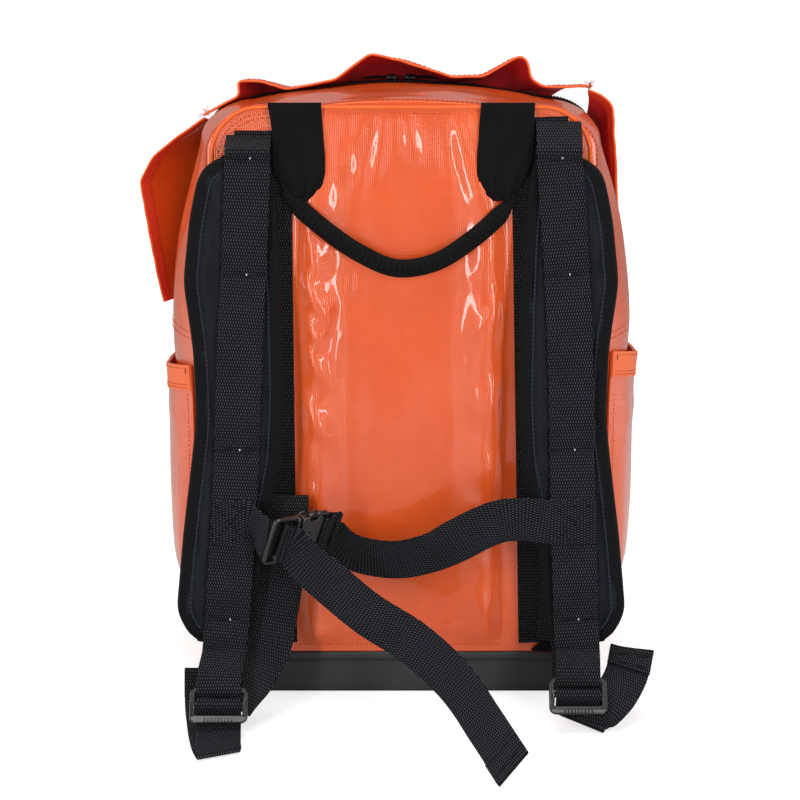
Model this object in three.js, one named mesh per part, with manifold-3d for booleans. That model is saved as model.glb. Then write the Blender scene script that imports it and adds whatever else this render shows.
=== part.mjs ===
// Trauma backpack: a tarpaulin pack on a moulded base tub, with a padded two-strap harness, a carry
// handle, a zipped front lid under a loose storm skirt, and open side pockets.
// Millimetres, +Z up. The origin is the middle of the base's underside. The harness faces -Y.

import * as THREE from 'three';
import { mergeVertices } from 'three/addons/utils/BufferGeometryUtils.js';
import Module from 'manifold-3d';

const wasm = await Module();
wasm.setup();

// ---- driving dimensions ----
const GAP = 0.3;                    // clearance kept between pieces that touch
const TUB = { halfWidth: 178, back: -113, front: 112, height: 40, wall: 3, corner: 9, draft: 2 };
const BODY = { back: -109.7, front: 120, floor: 4.3, wall: 2.5, backHalfWidth: 171 };
const LID = { back: 97.5, bottom: 345.5, hingeY: 121.5, hingeZ: 344, gap: 1 };
const PANEL = { back: -112, front: -110, bottom: 41, top: 549, halfWidth: 170, corner: 46 };
const WEB = { wide: 50, narrow: 40, thick: 1.7 };
// The webbing strips on the back panel, from the middle line; the right one leans out towards its foot.
const STRIP = { headX: 122, footX: { left: 122, right: 135 }, foot: 50,
  head: { left: 526, right: 538 }, thick: 1.6 };
const HANDLE = { y: -117.6, gripY: -123.1, gripWidth: 16, gripThick: 5 };
const PAD = { top: 510, bottom: 68, edgeThick: 4, crown: 9, backDepth: 7 };
const STRAP = { top: { left: 522, right: 534 }, topY: -115.4 };
const LOCK = { width: 52, thick: 4.6, barHeight: 4.4, slotHeight: 8, slotWidth: 43, wrapRadius: 4.6 };
const BUCKLE = { centre: [-92, -184, 174], width: 50, thick: 11, roll: -3, yaw: 40, tilt: 22,
  barRadius: 4.4 };
const ZIP = { tapeWidth: 12, tapeThick: 1.4, sliderTravelStart: 9 };

// ---- materials ----
function material(color, roughness, metalness = 0) {
  return new THREE.MeshStandardMaterial({ color, roughness, metalness });
}
const orangeTarp = material(0xe8642d, 0.3);
const redInside = material(0xb83220, 0.7);
const webbing = material(0x15171a, 0.85);
const padCloth = material(0x17191c, 0.75);
const tubPlastic = material(0x24272a, 0.5);
const glossPlastic = material(0x0d0e10, 0.25);
const zipTape = material(0x1b1c1e, 0.8);
const boardPlastic = material(0x3a3d40, 0.6);
const foam = material(0x54585c, 0.95);
const liner = material(0x8d9196, 0.8);

// ---- geometry helpers ----
const v = (x, y, z) => new THREE.Vector3(x, y, z);

function fromTriangles(points, triangles) {
  const geometry = new THREE.BufferGeometry();
  const flat = points.flatMap((p) => [p.x, p.y, p.z]);
  geometry.setAttribute('position', new THREE.Float32BufferAttribute(flat, 3));
  geometry.setIndex(triangles.flat());
  return geometry;
}

// Joins equal rings of points, one after another, into a closed body with fan caps.
function loft(rings) {
  const n = rings[0].length;
  const points = rings.flat();
  const triangles = [];
  for (let r = 0; r + 1 < rings.length; r += 1) {
    for (let i = 0; i < n; i += 1) {
      const a = r * n + i;
      const b = r * n + ((i + 1) % n);
      triangles.push([a, b, b + n], [a, b + n, a + n]);
    }
  }
  for (const [ring, start] of [[rings[0], 0], [rings.at(-1), (rings.length - 1) * n]]) {
    const centre = ring.reduce((sum, p) => sum.add(p), v(0, 0, 0)).divideScalar(n);
    points.push(centre);
    for (let i = 0; i < n; i += 1) {
      const edge = [start + i, start + ((i + 1) % n)];
      triangles.push(start === 0 ? [edge[1], edge[0], points.length - 1] : [...edge, points.length - 1]);
    }
  }
  return outward(fromTriangles(points, triangles));
}

// Turns every face round when the body's signed volume is negative.
function outward(geometry) {
  const position = geometry.getAttribute('position');
  const index = geometry.getIndex().array;
  const [a, b, c] = [v(0, 0, 0), v(0, 0, 0), v(0, 0, 0)];
  let volume = 0;
  for (let i = 0; i < index.length; i += 3) {
    a.fromBufferAttribute(position, index[i]);
    b.fromBufferAttribute(position, index[i + 1]);
    c.fromBufferAttribute(position, index[i + 2]);
    volume += a.dot(b.cross(c));
  }
  if (volume < 0) {
    for (let i = 0; i < index.length; i += 3) {
      [index[i], index[i + 1]] = [index[i + 1], index[i]];
    }
  }
  return geometry;
}

// A thin closed body around a grid of points: rows of equal length, thickened along the surface normal.
function sheet(rows, thickness) {
  const [m, n] = [rows.length, rows[0].length];
  const faces = [[], []];
  for (let i = 0; i < m; i += 1) {
    for (let j = 0; j < n; j += 1) {
      const along = rows[Math.min(i + 1, m - 1)][j].clone().sub(rows[Math.max(i - 1, 0)][j]);
      const across = rows[i][Math.min(j + 1, n - 1)].clone().sub(rows[i][Math.max(j - 1, 0)]);
      const normal = along.cross(across).normalize();
      faces[0].push(rows[i][j].clone().addScaledVector(normal, thickness / 2));
      faces[1].push(rows[i][j].clone().addScaledVector(normal, -thickness / 2));
    }
  }
  const size = m * n;
  const triangles = [];
  for (let i = 0; i + 1 < m; i += 1) {
    for (let j = 0; j + 1 < n; j += 1) {
      const [a, b, c, d] = [i * n + j, i * n + j + 1, (i + 1) * n + j + 1, (i + 1) * n + j];
      triangles.push([a, c, b], [a, d, c]);
      triangles.push([a + size, b + size, c + size], [a + size, c + size, d + size]);
    }
  }
  const rim = [];
  for (let j = 0; j < n - 1; j += 1) rim.push(j);
  for (let i = 0; i < m - 1; i += 1) rim.push(i * n + n - 1);
  for (let j = n - 1; j > 0; j -= 1) rim.push((m - 1) * n + j);
  for (let i = m - 1; i > 0; i -= 1) rim.push(i * n);
  rim.forEach((a, k) => {
    const b = rim[(k + 1) % rim.length];
    triangles.push([a, b, b + size], [a, b + size, a + size]);
  });
  return outward(fromTriangles([...faces[0], ...faces[1]], triangles));
}

// A flat strap: stations of { at, side }, where side points along the strap's width.
function strap(stations, width, thickness = WEB.thick) {
  const rows = stations.map(({ at, side, stretch = 1 }) => {
    const half = side.clone().setLength(width * stretch / 2);
    return [at.clone().sub(half), at.clone().add(half)];
  });
  return sheet(rows, thickness);
}

// Stations along a smooth curve through hand-picked [x, y, z, sideX, sideY, sideZ] stops.
function smooth(stops, count) {
  const centre = new THREE.CatmullRomCurve3(stops.map((s) => v(s[0], s[1], s[2])), false, 'centripetal');
  const sides = stops.map((s) => v(s[3] ?? 1, s[4] ?? 0, s[5] ?? 0).normalize());
  return Array.from({ length: count + 1 }, (_, k) => {
    const t = k / count;
    const place = t * (stops.length - 1);
    const i = Math.min(Math.floor(place), stops.length - 2);
    return { at: centre.getPoint(t), side: sides[i].clone().lerp(sides[i + 1], place - i) };
  });
}

function solidOf(geometry) {
  const plain = geometry.index ? geometry.clone() : geometry;
  plain.deleteAttribute('normal');
  plain.deleteAttribute('uv');
  const merged = mergeVertices(plain, 1e-4);
  const vertProperties = new Float32Array(merged.getAttribute('position').array);
  const triVerts = new Uint32Array(merged.getIndex().array);
  return new wasm.Manifold(new wasm.Mesh({ numProp: 3, vertProperties, triVerts }));
}

function geometryOf(solid) {
  const mesh = solid.getMesh();
  const geometry = new THREE.BufferGeometry();
  geometry.setAttribute('position', new THREE.Float32BufferAttribute(mesh.vertProperties, 3));
  geometry.setIndex(Array.from(mesh.triVerts));
  return geometry;
}

function box(low, high) {
  const size = high.map((value, i) => value - low[i]);
  const geometry = new THREE.BoxGeometry(...size);
  return geometry.translate(...low.map((value, i) => value + size[i] / 2));
}

const boxSolid = (low, high) => solidOf(box(low, high));

function roundedRectangle(halfWidth, low, high, radius) {
  const shape = new THREE.Shape();
  shape.moveTo(-halfWidth + radius, low);
  shape.lineTo(halfWidth - radius, low);
  shape.absarc(halfWidth - radius, low + radius, radius, -Math.PI / 2, 0);
  shape.absarc(halfWidth - radius, high - radius, radius, 0, Math.PI / 2);
  shape.absarc(-halfWidth + radius, high - radius, radius, Math.PI / 2, Math.PI);
  shape.absarc(-halfWidth + radius, low + radius, radius, Math.PI, Math.PI * 1.5);
  return shape;
}

function interpolate(table, z) {
  const last = table.length - 1;
  if (z <= table[0][0]) return table[0][1];
  for (let i = 1; i <= last; i += 1) {
    if (z <= table[i][0]) {
      const t = (z - table[i - 1][0]) / (table[i][0] - table[i - 1][0]);
      return THREE.MathUtils.lerp(table[i - 1][1], table[i][1], t);
    }
  }
  return table[last][1];
}

// ---- assembly helpers ----
const backpack = new THREE.Group();

function add(name, geometry, mat, parent = backpack) {
  const mesh = new THREE.Mesh(geometry, mat);
  mesh.name = name;
  parent.add(mesh);
  return mesh;
}

const SIDES = [{ tag: 'left', sign: -1 }, { tag: 'right', sign: 1 }];

// ---- bag body ----
// Half the bag's width at its widest depth, by height: it swells in the middle and narrows to both ends.
const SWELL = [[41, 174.5], [60, 192], [80, 203], [105, 210], [200, 215], [280, 216], [302, 219],
  [341, 221], [380, 218], [424, 211], [470, 199], [518, 184]];
const WIDEST_Y = 20;
const FRONT_SPAN = 165;             // how far ahead of the widest depth the swell would die out
const CORNER_RADIUS = 44;           // of the bag's top corners, seen from the back
const CROWN_DROP = 12;              // how far the crown falls from the middle to x = 125

function halfWidth(y, z) {
  const end = BODY.backHalfWidth;
  const span = y < WIDEST_Y ? WIDEST_Y - BODY.back : FRONT_SPAN;
  const fullness = 1 - ((y - WIDEST_Y) / span) ** 2;
  return end + (interpolate(SWELL, z) - end) * fullness;
}

const topAt = (x, crest) => crest - CROWN_DROP * (x / 125) ** 2;

const CREST = [[-110, 551], [-80, 553], [20, 556], [60, 556], [90, 555], [105, 553], [113, 549], [120, 540]];
const FLOOR = [[104.2, 4.3], [104.8, 41], [112, 45], [120, 58]];
const SIDE_LEVELS = [4.3, 22, 41, 50, 62, 80, 105, 150, 200, 250, 302, 341, 380, 424, 468];
const CORNER_STEPS = 4;
const TOP_STEPS = 4;

// The bag's outline at one depth, going up the right side, over the crown and down the left side.
function outline(y, inset) {
  const crest = interpolate(CREST, y) - inset;
  const floor = interpolate(FLOOR, y) + inset;
  const shoulder = crest - CORNER_RADIUS;
  const end = Math.min(1, Math.min(y - BODY.back, BODY.front - y) / 6);
  const shrink = 5 * (1 - end) + inset;
  const right = [];
  [...SIDE_LEVELS, shoulder].forEach((level, i) => {
    const z = Math.max(level, floor + i);
    right.push(v(halfWidth(y, z) - shrink, y, z));
  });
  const foot = halfWidth(y, shoulder) - shrink;
  const crownX = foot - CORNER_RADIUS;
  for (let i = 1; i <= CORNER_STEPS; i += 1) {
    const a = (i / CORNER_STEPS) * (Math.PI / 2);
    const rise = topAt(crownX, crest) - shoulder;
    right.push(v(crownX + CORNER_RADIUS * Math.cos(a), y, shoulder + rise * Math.sin(a)));
  }
  for (let i = 1; i <= TOP_STEPS; i += 1) {
    const x = crownX * (1 - i / TOP_STEPS);
    right.push(v(x, y, topAt(x, crest)));
  }
  const left = right.slice(0, -1).reverse().map((p) => v(-p.x, p.y, p.z));
  return [...right, ...left];
}

function bagSolid(inset) {
  const depths = [BODY.back, -104, -92, -60, -20, 20, 55, 82, 97, 104.2, 104.8, 112, BODY.front];
  const inner = depths.map((y) => Math.min(Math.max(y, BODY.back + inset), BODY.front - inset));
  const unique = inner.filter((y, i) => i === 0 || y - inner[i - 1] > 0.5);
  return solidOf(loft(unique.map((y) => outline(y, inset))));
}

const bagOuter = bagSolid(0);
const bagShell = bagOuter.subtract(bagSolid(BODY.wall));
const lidRegion = boxSolid([-300, LID.back, LID.bottom], [300, 200, 700]);
const bodyRegion = boxSolid([-300, LID.back - LID.gap, LID.bottom - LID.gap], [300, 200, 700]);
add('body_shell', geometryOf(bagShell.subtract(bodyRegion)), orangeTarp);

// ---- base tub ----
function tub() {
  const extrude = (inset, low, high) => {
    const { halfWidth: half, back, front, corner } = TUB;
    const shape = roundedRectangle(half - inset, back + inset, front - inset, corner - inset);
    const depth = high - low;
    const solid = new THREE.ExtrudeGeometry(shape, { depth, bevelEnabled: false, curveSegments: 5 });
    return solidOf(solid.translate(0, 0, low));
  };
  const lip = extrude(0, TUB.height - 7, TUB.height).add(extrude(TUB.draft / 2, 0, TUB.height - 7));
  return geometryOf(lip.subtract(extrude(TUB.wall, BODY.floor - GAP, TUB.height + 1)));
}
add('base_tub', tub(), tubPlastic);

// ---- back panel and what is sewn on it ----
// A plate that stands across the bag, from the front face y to the back face y.
function uprightPlate(shape, yFrom, yTo) {
  const depth = yTo - yFrom;
  const solid = new THREE.ExtrudeGeometry(shape, { depth, bevelEnabled: false, curveSegments: 6 });
  return solid.rotateX(Math.PI / 2).translate(0, yTo, 0);
}

function backPanelShape() {
  const { halfWidth: w, bottom, top, corner } = PANEL;
  const shape = new THREE.Shape();
  shape.moveTo(-w, bottom);
  shape.lineTo(w, bottom);
  shape.lineTo(w, top - corner);
  shape.absarc(w - corner, top - corner, corner, 0, Math.PI / 2);
  shape.absarc(-w + corner, top - corner, corner, Math.PI / 2, Math.PI);
  shape.closePath();
  return shape;
}
add('back_panel', uprightPlate(backPanelShape(), PANEL.back, PANEL.front), orangeTarp);

for (const { tag, sign } of SIDES) {
  const y = PANEL.back - GAP - STRIP.thick / 2;
  const ends = [v(sign * STRIP.footX[tag], y, STRIP.foot), v(sign * STRIP.headX, y, STRIP.head[tag])];
  const stations = ends.map((at) => ({ at, side: v(1, 0, 0) }));
  add(`back_strip_${tag}`, strap(stations, WEB.wide, STRIP.thick), webbing);
}

// ---- inside the bag ----
// Layers behind the back panel, from the outside in: half width, bottom, top, corner, front y, back y.
const LAYERS = [
  {
    name: 'frame_sheet', half: 158, low: 12, high: 528, corner: 40,
    from: -106.6, to: -104.6, mat: boardPlastic,
  },
  { name: 'back_foam', half: 156, low: 14, high: 524, corner: 40, from: -104.2, to: -96.2, mat: foam },
  { name: 'inner_sleeve', half: 140, low: 60, high: 400, corner: 20, from: -95.8, to: -91.8, mat: liner },
];
for (const { name, half, low, high, corner, from, to, mat } of LAYERS) {
  add(name, uprightPlate(roundedRectangle(half, low, high, corner), from, to), mat);
}
const BASE_BOARD = { halfWidth: 162, back: -90, front: 98, bottom: 7.2, top: 11.2 };
const DIVIDER = { halfWidth: 178, back: -84, front: 92, bottom: 250, top: 258 };

function lyingBoard({ halfWidth: half, back, front, bottom, top }) {
  return box([-half, back, bottom], [half, front, top]);
}
add('base_board', lyingBoard(BASE_BOARD), boardPlastic);
add('divider_shelf', lyingBoard(DIVIDER), liner);

// ---- side pockets ----
// How far each pocket's inside stands off the bag, by height.
const POCKET_STANDOFF = [[56, 0.5], [63, 6], [80, 10], [105, 11.5], [200, 9.5], [290, 9], [298, 9.5]];
const POCKET = { bottom: 56, back: -78, front: 92, wall: 2.2, edgeWidth: 22, edgeStand: 1.3 };
// The height of each pocket's rim at its back and front edges; it falls away from the harness.
const POCKET_RIM = { left: [307, 291], right: [320, 301] };

function sidePocket(tag, sign) {
  const levels = [0, 0.02, 0.04, 0.08, 0.14, 0.22, 0.47, 0.72, 0.93, 1];
  const depths = [POCKET.back, -66, -50, -20, 0, 20, 36, 52, 72, 82, POCKET.front];
  const [rimBack, rimFront] = POCKET_RIM[tag];
  const rows = levels.map((level) => depths.map((y) => {
    const rim = interpolate([[POCKET.back, rimBack], [WIDEST_Y, rimFront]], y);
    const z = POCKET.bottom + level * (rim - POCKET.bottom);
    const edge = Math.min(1, Math.min(y - POCKET.back, POCKET.front - y) / POCKET.edgeWidth);
    const stand = Math.max(POCKET.edgeStand, interpolate(POCKET_STANDOFF, z) * Math.sqrt(edge));
    return v(sign * (halfWidth(y, z) + stand + POCKET.wall / 2), y, z);
  }));
  return sheet(rows, POCKET.wall);
}
for (const { tag, sign } of SIDES) add(`side_pocket_${tag}`, sidePocket(tag, sign), orangeTarp);

// ---- front pocket ----
const FRONT_POCKET = { halfWidth: 138, bottom: 74, top: 300, depth: 15, wall: 2.2, edgeWidth: 12 };

function frontPocket() {
  const { halfWidth: half, bottom, top, depth, wall, edgeWidth } = FRONT_POCKET;
  const heights = [bottom, bottom + 4, bottom + edgeWidth, 100, 160, 230, top];
  const across = [-half, 5 - half, -122, -60, 0, 60, 122, half - 5, half];
  const rows = heights.map((z) => across.map((x) => {
    const edge = Math.min(1, Math.min(half - Math.abs(x), z - bottom) / edgeWidth);
    return v(x, BODY.front + 2 * GAP + wall / 2 + depth * Math.sqrt(edge), z);
  }));
  return sheet(rows, wall);
}
add('front_pocket', frontPocket(), orangeTarp);

// ---- lid, zip and storm skirt ----
add('lid_panel', geometryOf(bagShell.intersect(lidRegion)), orangeTarp);

// A band of zip tape laid round the bag's outline between two depths.
function zipBand(yFrom, yTo) {
  const ring = (y) => {
    const points = outline(y, 0).filter((p) => p.z > LID.bottom + 6);
    return points.map((p, i) => {
      const along = points[Math.min(i + 1, points.length - 1)].clone().sub(points[Math.max(i - 1, 0)]);
      const out = v(along.z, 0, -along.x).normalize();
      return p.clone().addScaledVector(out, 2 * GAP + ZIP.tapeThick / 2);
    });
  };
  const from = ring(yFrom);
  const to = ring(yTo);
  return sheet(from.map((point, i) => [point, to[i]]), ZIP.tapeThick);
}
add('zip_tape_body', zipBand(LID.back - LID.gap - ZIP.tapeWidth, LID.back - LID.gap - 0.2), zipTape);
add('zip_tape_lid', zipBand(LID.back + 0.2, 104.4), zipTape);

const SKIRT_THICK = 1.6;
const SKIRT_ROOT_Y = 112;

// The free edge of each wing, from its top corner down: [x, y, z]. The left wing flares much wider.
const WING_EDGE = {
  left: [[190, 56, 523], [218, 51, 504], [240, 50, 486], [253, 50, 462], [249, 50, 436], [245, 51, 408],
    [239, 54, 372], [234, 60, 342]],
  right: [[181, 60, 550], [193, 60, 546], [205, 60, 535], [209, 60, 482], [212, 62, 428], [216, 66, 394],
    [220, 70, 370], [222, 74, 350]],
};

function wing(sign, edge) {
  const rows = edge.map(([x, y, z], i) => {
    const rootZ = Math.min(z, 516 - i * 1.5);
    const root = v(sign * (halfWidth(SKIRT_ROOT_Y, rootZ) + 2.2), SKIRT_ROOT_Y, rootZ);
    const free = v(sign * x, y, z);
    const middle = root.clone().lerp(free, 0.45).add(v(sign * 3, 0, 0));
    return [root, middle, free];
  });
  return sheet(rows, SKIRT_THICK);
}
for (const { tag, sign } of SIDES) add(`lid_skirt_${tag}`, wing(sign, WING_EDGE[tag]), redInside);

// The free edge of the top skirt, [x, z]: stiff cloth that stands up in peaks.
const TOP_EDGE = [[-190, 525], [-172, 536], [-156, 551], [-138, 557], [-112, 550], [-63, 559], [-38, 578],
  [-29, 584], [-1, 578], [10, 575], [48, 562], [81, 563], [109, 580], [117, 583], [123, 570], [138, 553],
  [180, 553]];

function topSkirt() {
  const rootTop = interpolate(CREST, SKIRT_ROOT_Y);
  const rows = TOP_EDGE.map(([x, z]) => {
    const rootX = x * 0.8;
    const rootZ = topAt(rootX, rootTop) + 2.4;
    const kneeZ = Math.max(Math.min(rootZ + 20, z + 4), rootZ + 10.5);
    return [v(rootX, SKIRT_ROOT_Y, rootZ), v((rootX + x) / 2, 101, kneeZ), v(x, 55, z)];
  });
  return sheet(rows, SKIRT_THICK);
}
add('lid_skirt_top', topSkirt(), redInside);

// ---- zip sliders and pulls ----
const SLIDER = { length: 12, width: 9, height: 4, y: 95.5, grooveHalf: 2.5, floor: 1.6 };
const PULL = { length: 20, halfWidth: 4, bottom: 0.6, top: 3 };
for (const { tag, sign } of SIDES) {
  const x = sign * ZIP.sliderTravelStart;
  const z = interpolate(CREST, SLIDER.y) + 3.4;
  const y = SLIDER.y;
  const body = boxSolid([x - SLIDER.length / 2, y - SLIDER.width / 2, z],
    [x + SLIDER.length / 2, y + SLIDER.width / 2, z + SLIDER.height]);
  const groove = boxSolid([x - SLIDER.grooveHalf, y - SLIDER.width, z + SLIDER.floor],
    [x + SLIDER.grooveHalf, y + SLIDER.width, z + SLIDER.height + 1]);
  add(`zip_slider_${tag}`, geometryOf(body.subtract(groove)), glossPlastic);
  const pullFrom = x + sign * (SLIDER.length / 2 + 0.5);
  const pullTo = pullFrom + sign * PULL.length;
  const low = [Math.min(pullFrom, pullTo), y - PULL.halfWidth, z + PULL.bottom];
  const high = [Math.max(pullFrom, pullTo), y + PULL.halfWidth, z + PULL.top];
  add(`zip_pull_${tag}`, box(low, high), webbing);
}

// ---- carry handle ----
// Each tab narrows where it is gathered into the grip: [z, inner x, outer x], from the seam down.
const TAB_STOPS = {
  left: [[551, 70, 117], [530, 69, 114], [524, 68.5, 113.2], [503, 67, 113.2], [490, 67, 112],
    [480, 69, 106.5], [472, 74, 102.5], [465, 81, 99]],
  right: [[551, 70, 117.5], [525, 68.5, 117], [503, 67, 116], [490, 67, 112],
    [480, 69, 106.5], [472, 74, 102.5], [465, 81, 99]],
};
// The grip droops from tab to tab: [x, z].
const GRIP_STOPS = [[-99, 470], [-92, 461], [-67, 439.5], [-37, 419], [-4, 405.5], [31, 411], [63, 431],
  [88, 453], [97, 465]];

function handleTab(tag, sign) {
  const edge = (x, z) => v(sign * x, HANDLE.y, z);
  const rows = TAB_STOPS[tag].map(([z, inner, outer]) => [edge(outer, z), edge(inner, z)]);
  return sheet(rows, WEB.thick);
}

function handleGrip() {
  const shape = GRIP_STOPS.map(([x, z]) => v(x, HANDLE.gripY - 1.5 * (1 - Math.abs(x) / 100), z));
  const curve = new THREE.CatmullRomCurve3(shape, false, 'centripetal');
  const STEPS = 20;
  const rings = Array.from({ length: STEPS + 1 }, (_, k) => {
    const at = curve.getPoint(k / STEPS);
    const along = curve.getTangent(k / STEPS);
    const width = along.clone().cross(v(0, 1, 0)).setLength(HANDLE.gripWidth / 2);
    const thick = v(0, HANDLE.gripThick / 2, 0);
    return [
      at.clone().add(width), at.clone().addScaledVector(width, 0.6).add(thick),
      at.clone().addScaledVector(width, -0.6).add(thick), at.clone().sub(width),
      at.clone().addScaledVector(width, -0.6).sub(thick), at.clone().addScaledVector(width, 0.6).sub(thick),
    ];
  });
  return loft(rings);
}
for (const { tag, sign } of SIDES) add(`handle_tab_${tag}`, handleTab(tag, sign), webbing);
add('handle_grip', handleGrip(), webbing);

// ---- shoulder pads ----
// The pad's outer and inner edges, [z, x], from the bottom up, and how far its edge stands off the panel.
const PAD_OUTER = [[68, 183], [84, 194], [98, 202], [170, 195], [240, 186], [275, 182], [335, 184],
  [395, 192], [450, 186], [492, 177], [510, 154]];
const PAD_INNER = [[68, 137], [110, 131], [160, 124], [200, 116], [235, 108], [290, 105], [365, 106],
  [430, 108], [476, 112], [510, 120]];
const PAD_LEAN = 0.107;
const padEdgeY = (z) => -125 - PAD_LEAN * (508 - z);

function pad(sign) {
  const STEPS = 18;
  const rings = Array.from({ length: STEPS + 1 }, (_, k) => {
    const z = PAD.bottom + (PAD.top - PAD.bottom) * (k / STEPS);
    const [outer, inner] = [interpolate(PAD_OUTER, z), interpolate(PAD_INNER, z)];
    const y = padEdgeY(z);
    const inset = Math.min(12, (outer - inner) / 4);
    const half = PAD.edgeThick / 2;
    const front = y - PAD.crown;
    const back = y + PAD.backDepth;
    return [
      v(sign * outer, y - half, z), v(sign * (outer - inset), front, z), v(sign * (inner + inset), front, z),
      v(sign * inner, y - half, z), v(sign * inner, y + half, z), v(sign * (inner + inset), back, z),
      v(sign * (outer - inset), back, z), v(sign * outer, y + half, z),
    ];
  });
  return loft(rings);
}
for (const { tag, sign } of SIDES) add(`shoulder_pad_${tag}`, pad(sign), padCloth);

// ---- webbing along each pad, its ladder lock and the adjuster tail ----
const webFront = (z) => padEdgeY(z) - PAD.crown - GAP - WEB.thick / 2 - 0.3;

// Each lock hangs where its webbing ends: its top bar's middle, and its slope from upright.
const LOCK_PLACE = {
  left: { x: 162, y: -207, z: 38.5, slope: 33 },
  right: { x: 158, y: -200, z: 45, slope: 24 },
};

// A point in the plane of a lock: u across it, w down it from the top bar, n out towards the front.
function lockPoint(tag, sign, u, w, n) {
  const { x, y, z, slope } = LOCK_PLACE[tag];
  const a = THREE.MathUtils.degToRad(slope);
  const down = v(0, -Math.sin(a), -Math.cos(a));
  const out = v(0, -Math.cos(a), Math.sin(a));
  return v(sign * x + u, y, z).addScaledVector(down, w).addScaledVector(out, n);
}

// The middle line of each pad's webbing, [z, x], from the top down.
const WEB_LINE = {
  left: [[504, 134.4], [470, 135.2], [403, 138.5], [346, 142], [293, 144], [248, 146], [203, 148], [149, 152],
    [95, 156], [66, 159]],
  right: [[504, 138.6], [470, 141], [403, 146], [346, 149], [293, 151], [248, 152], [203, 153], [149, 155],
    [95, 157], [66, 159]],
};

function padWebbing(tag, sign) {
  const across = v(1, 0, 0);
  const [[, headX]] = WEB_LINE[tag];
  const head = [[STRAP.topY, STRAP.top[tag]], [STRAP.topY - 4, STRAP.top[tag] - 4], [webFront(512), 511]];
  const stations = head.map(([y, z]) => ({ at: v(sign * headX, y, z), side: across }));
  stations.push(...WEB_LINE[tag].map(([z, x]) => ({ at: v(sign * x, webFront(z), z), side: across })));
  const radius = LOCK.wrapRadius;
  stations.push({ at: lockPoint(tag, sign, 0, -12, radius), side: across });
  const TURN_STEPS = 6;
  for (let k = 0; k <= TURN_STEPS; k += 1) {
    const a = (k / TURN_STEPS) * Math.PI;
    stations.push({
      at: lockPoint(tag, sign, 0, radius * Math.sin(a), radius * Math.cos(a)),
      side: across,
    });
  }
  stations.push({ at: lockPoint(tag, sign, 0, -11, -radius), side: across });
  return strap(stations, WEB.narrow);
}

// The plastic lock: a frame with three bars, the lowest one wider as a thumb lever.
function ladderLock(tag, sign) {
  const bar = LOCK.barHeight;
  const slot = LOCK.slotHeight;
  const total = bar * 3 + slot * 2 + 3;
  const half = LOCK.width / 2;
  const frame = new THREE.ExtrudeGeometry(roundedRectangle(half, 0, total, 6),
    { depth: LOCK.thick, bevelEnabled: false, curveSegments: 3 });
  let solid = solidOf(frame.translate(0, 0, -LOCK.thick / 2));
  for (const from of [bar, bar * 2 + slot]) {
    solid = solid.subtract(boxSolid([-LOCK.slotWidth / 2, from, -9], [LOCK.slotWidth / 2, from + slot, 9]));
  }
  const a = THREE.MathUtils.degToRad(LOCK_PLACE[tag].slope);
  const place = new THREE.Matrix4().makeBasis(
    v(-1, 0, 0), v(0, -Math.sin(a), -Math.cos(a)), v(0, -Math.cos(a), Math.sin(a)));
  place.setPosition(lockPoint(tag, sign, 0, -bar / 2, 0));
  return outward(geometryOf(solid).applyMatrix4(place));
}

// The adjuster's free end: over the middle bar, behind the lever, onto the floor and back up.
const BEHIND_LEVER = [[14.7, 4], [17.3, 1.6], [19.2, -1.2], [21.5, -3.5], [24, -4.2]];

function adjusterTail(tag, sign, freeStops) {
  const across = v(1, 0, 0);
  const middleBar = LOCK.barHeight + LOCK.slotHeight;
  const radius = LOCK.wrapRadius;
  const stations = [{ at: lockPoint(tag, sign, 0, middleBar + 1, -radius), side: across }];
  const TURN_STEPS = 5;
  for (let k = 0; k <= TURN_STEPS; k += 1) {
    const a = (k / TURN_STEPS) * Math.PI;
    stations.push({
      at: lockPoint(tag, sign, 0, middleBar - radius * Math.sin(a), -radius * Math.cos(a)),
      side: across,
    });
  }
  for (const [w, n] of BEHIND_LEVER) stations.push({ at: lockPoint(tag, sign, 0, w, n), side: across });
  return strap([...stations, ...freeStops], WEB.narrow);
}

const stop = (x, y, z, side = [1, 0, 0], stretch = 1) => ({ at: v(x, y, z), side: v(...side), stretch });
// The right free end is folded flat about a slanting crease; a slanted row is longer than the width.
const CREASE = [0.927, -0.154, -0.341];
const CREASE_STRETCH = 1.078;
const crease = (x, y, z) => stop(x, y, z, CREASE, CREASE_STRETCH);
const TAIL_STOPS = {
  left: [stop(-162, -218.5, 13.1), stop(-162, -221.4, 9.7), stop(-161.5, -230, 5.8),
    stop(-160.5, -242, 5.1, [0.98, 0.2, 0]), stop(-159, -254, 4.9, [0.95, 0.3, 0]),
    stop(-157, -265, 4.8, [0.9, 0.43, 0]), stop(-157.4, -267, 3.3, [0.9, 0.43, 0]),
    stop(-158, -265, 1.8, [0.9, 0.43, 0]), stop(-163, -250, 1.7, [0.95, 0.3, 0]),
    stop(-168, -225, 1.7, [1, 0.1, 0]), stop(-173, -196, 2.2), stop(-176, -180, 12),
    stop(-177, -170, 27), stop(-177, -166, 42)],
  right: [stop(158.5, -207.6, 17.7, [1, -0.05, -0.115]), stop(159.8, -209.2, 14.1, [1, -0.1, -0.228], 1.03),
    crease(161.5, -211, 10.6), crease(161.1, -211, 9.5), crease(160.9, -210.1, 8.6),
    crease(161.1, -208.9, 8.6), crease(161.5, -208.1, 9.3),
    stop(168, -206.5, 13.8, [0.823, -0.22, -0.487], 1.02), stop(177, -205, 19, [0.719, -0.286, -0.632]),
    stop(190, -198, 28, [0.8, -0.24, -0.5]), stop(203, -180, 41, [0.92, -0.15, -0.28]),
    stop(211, -155, 57, [1, 0, -0.1])],
};

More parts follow.
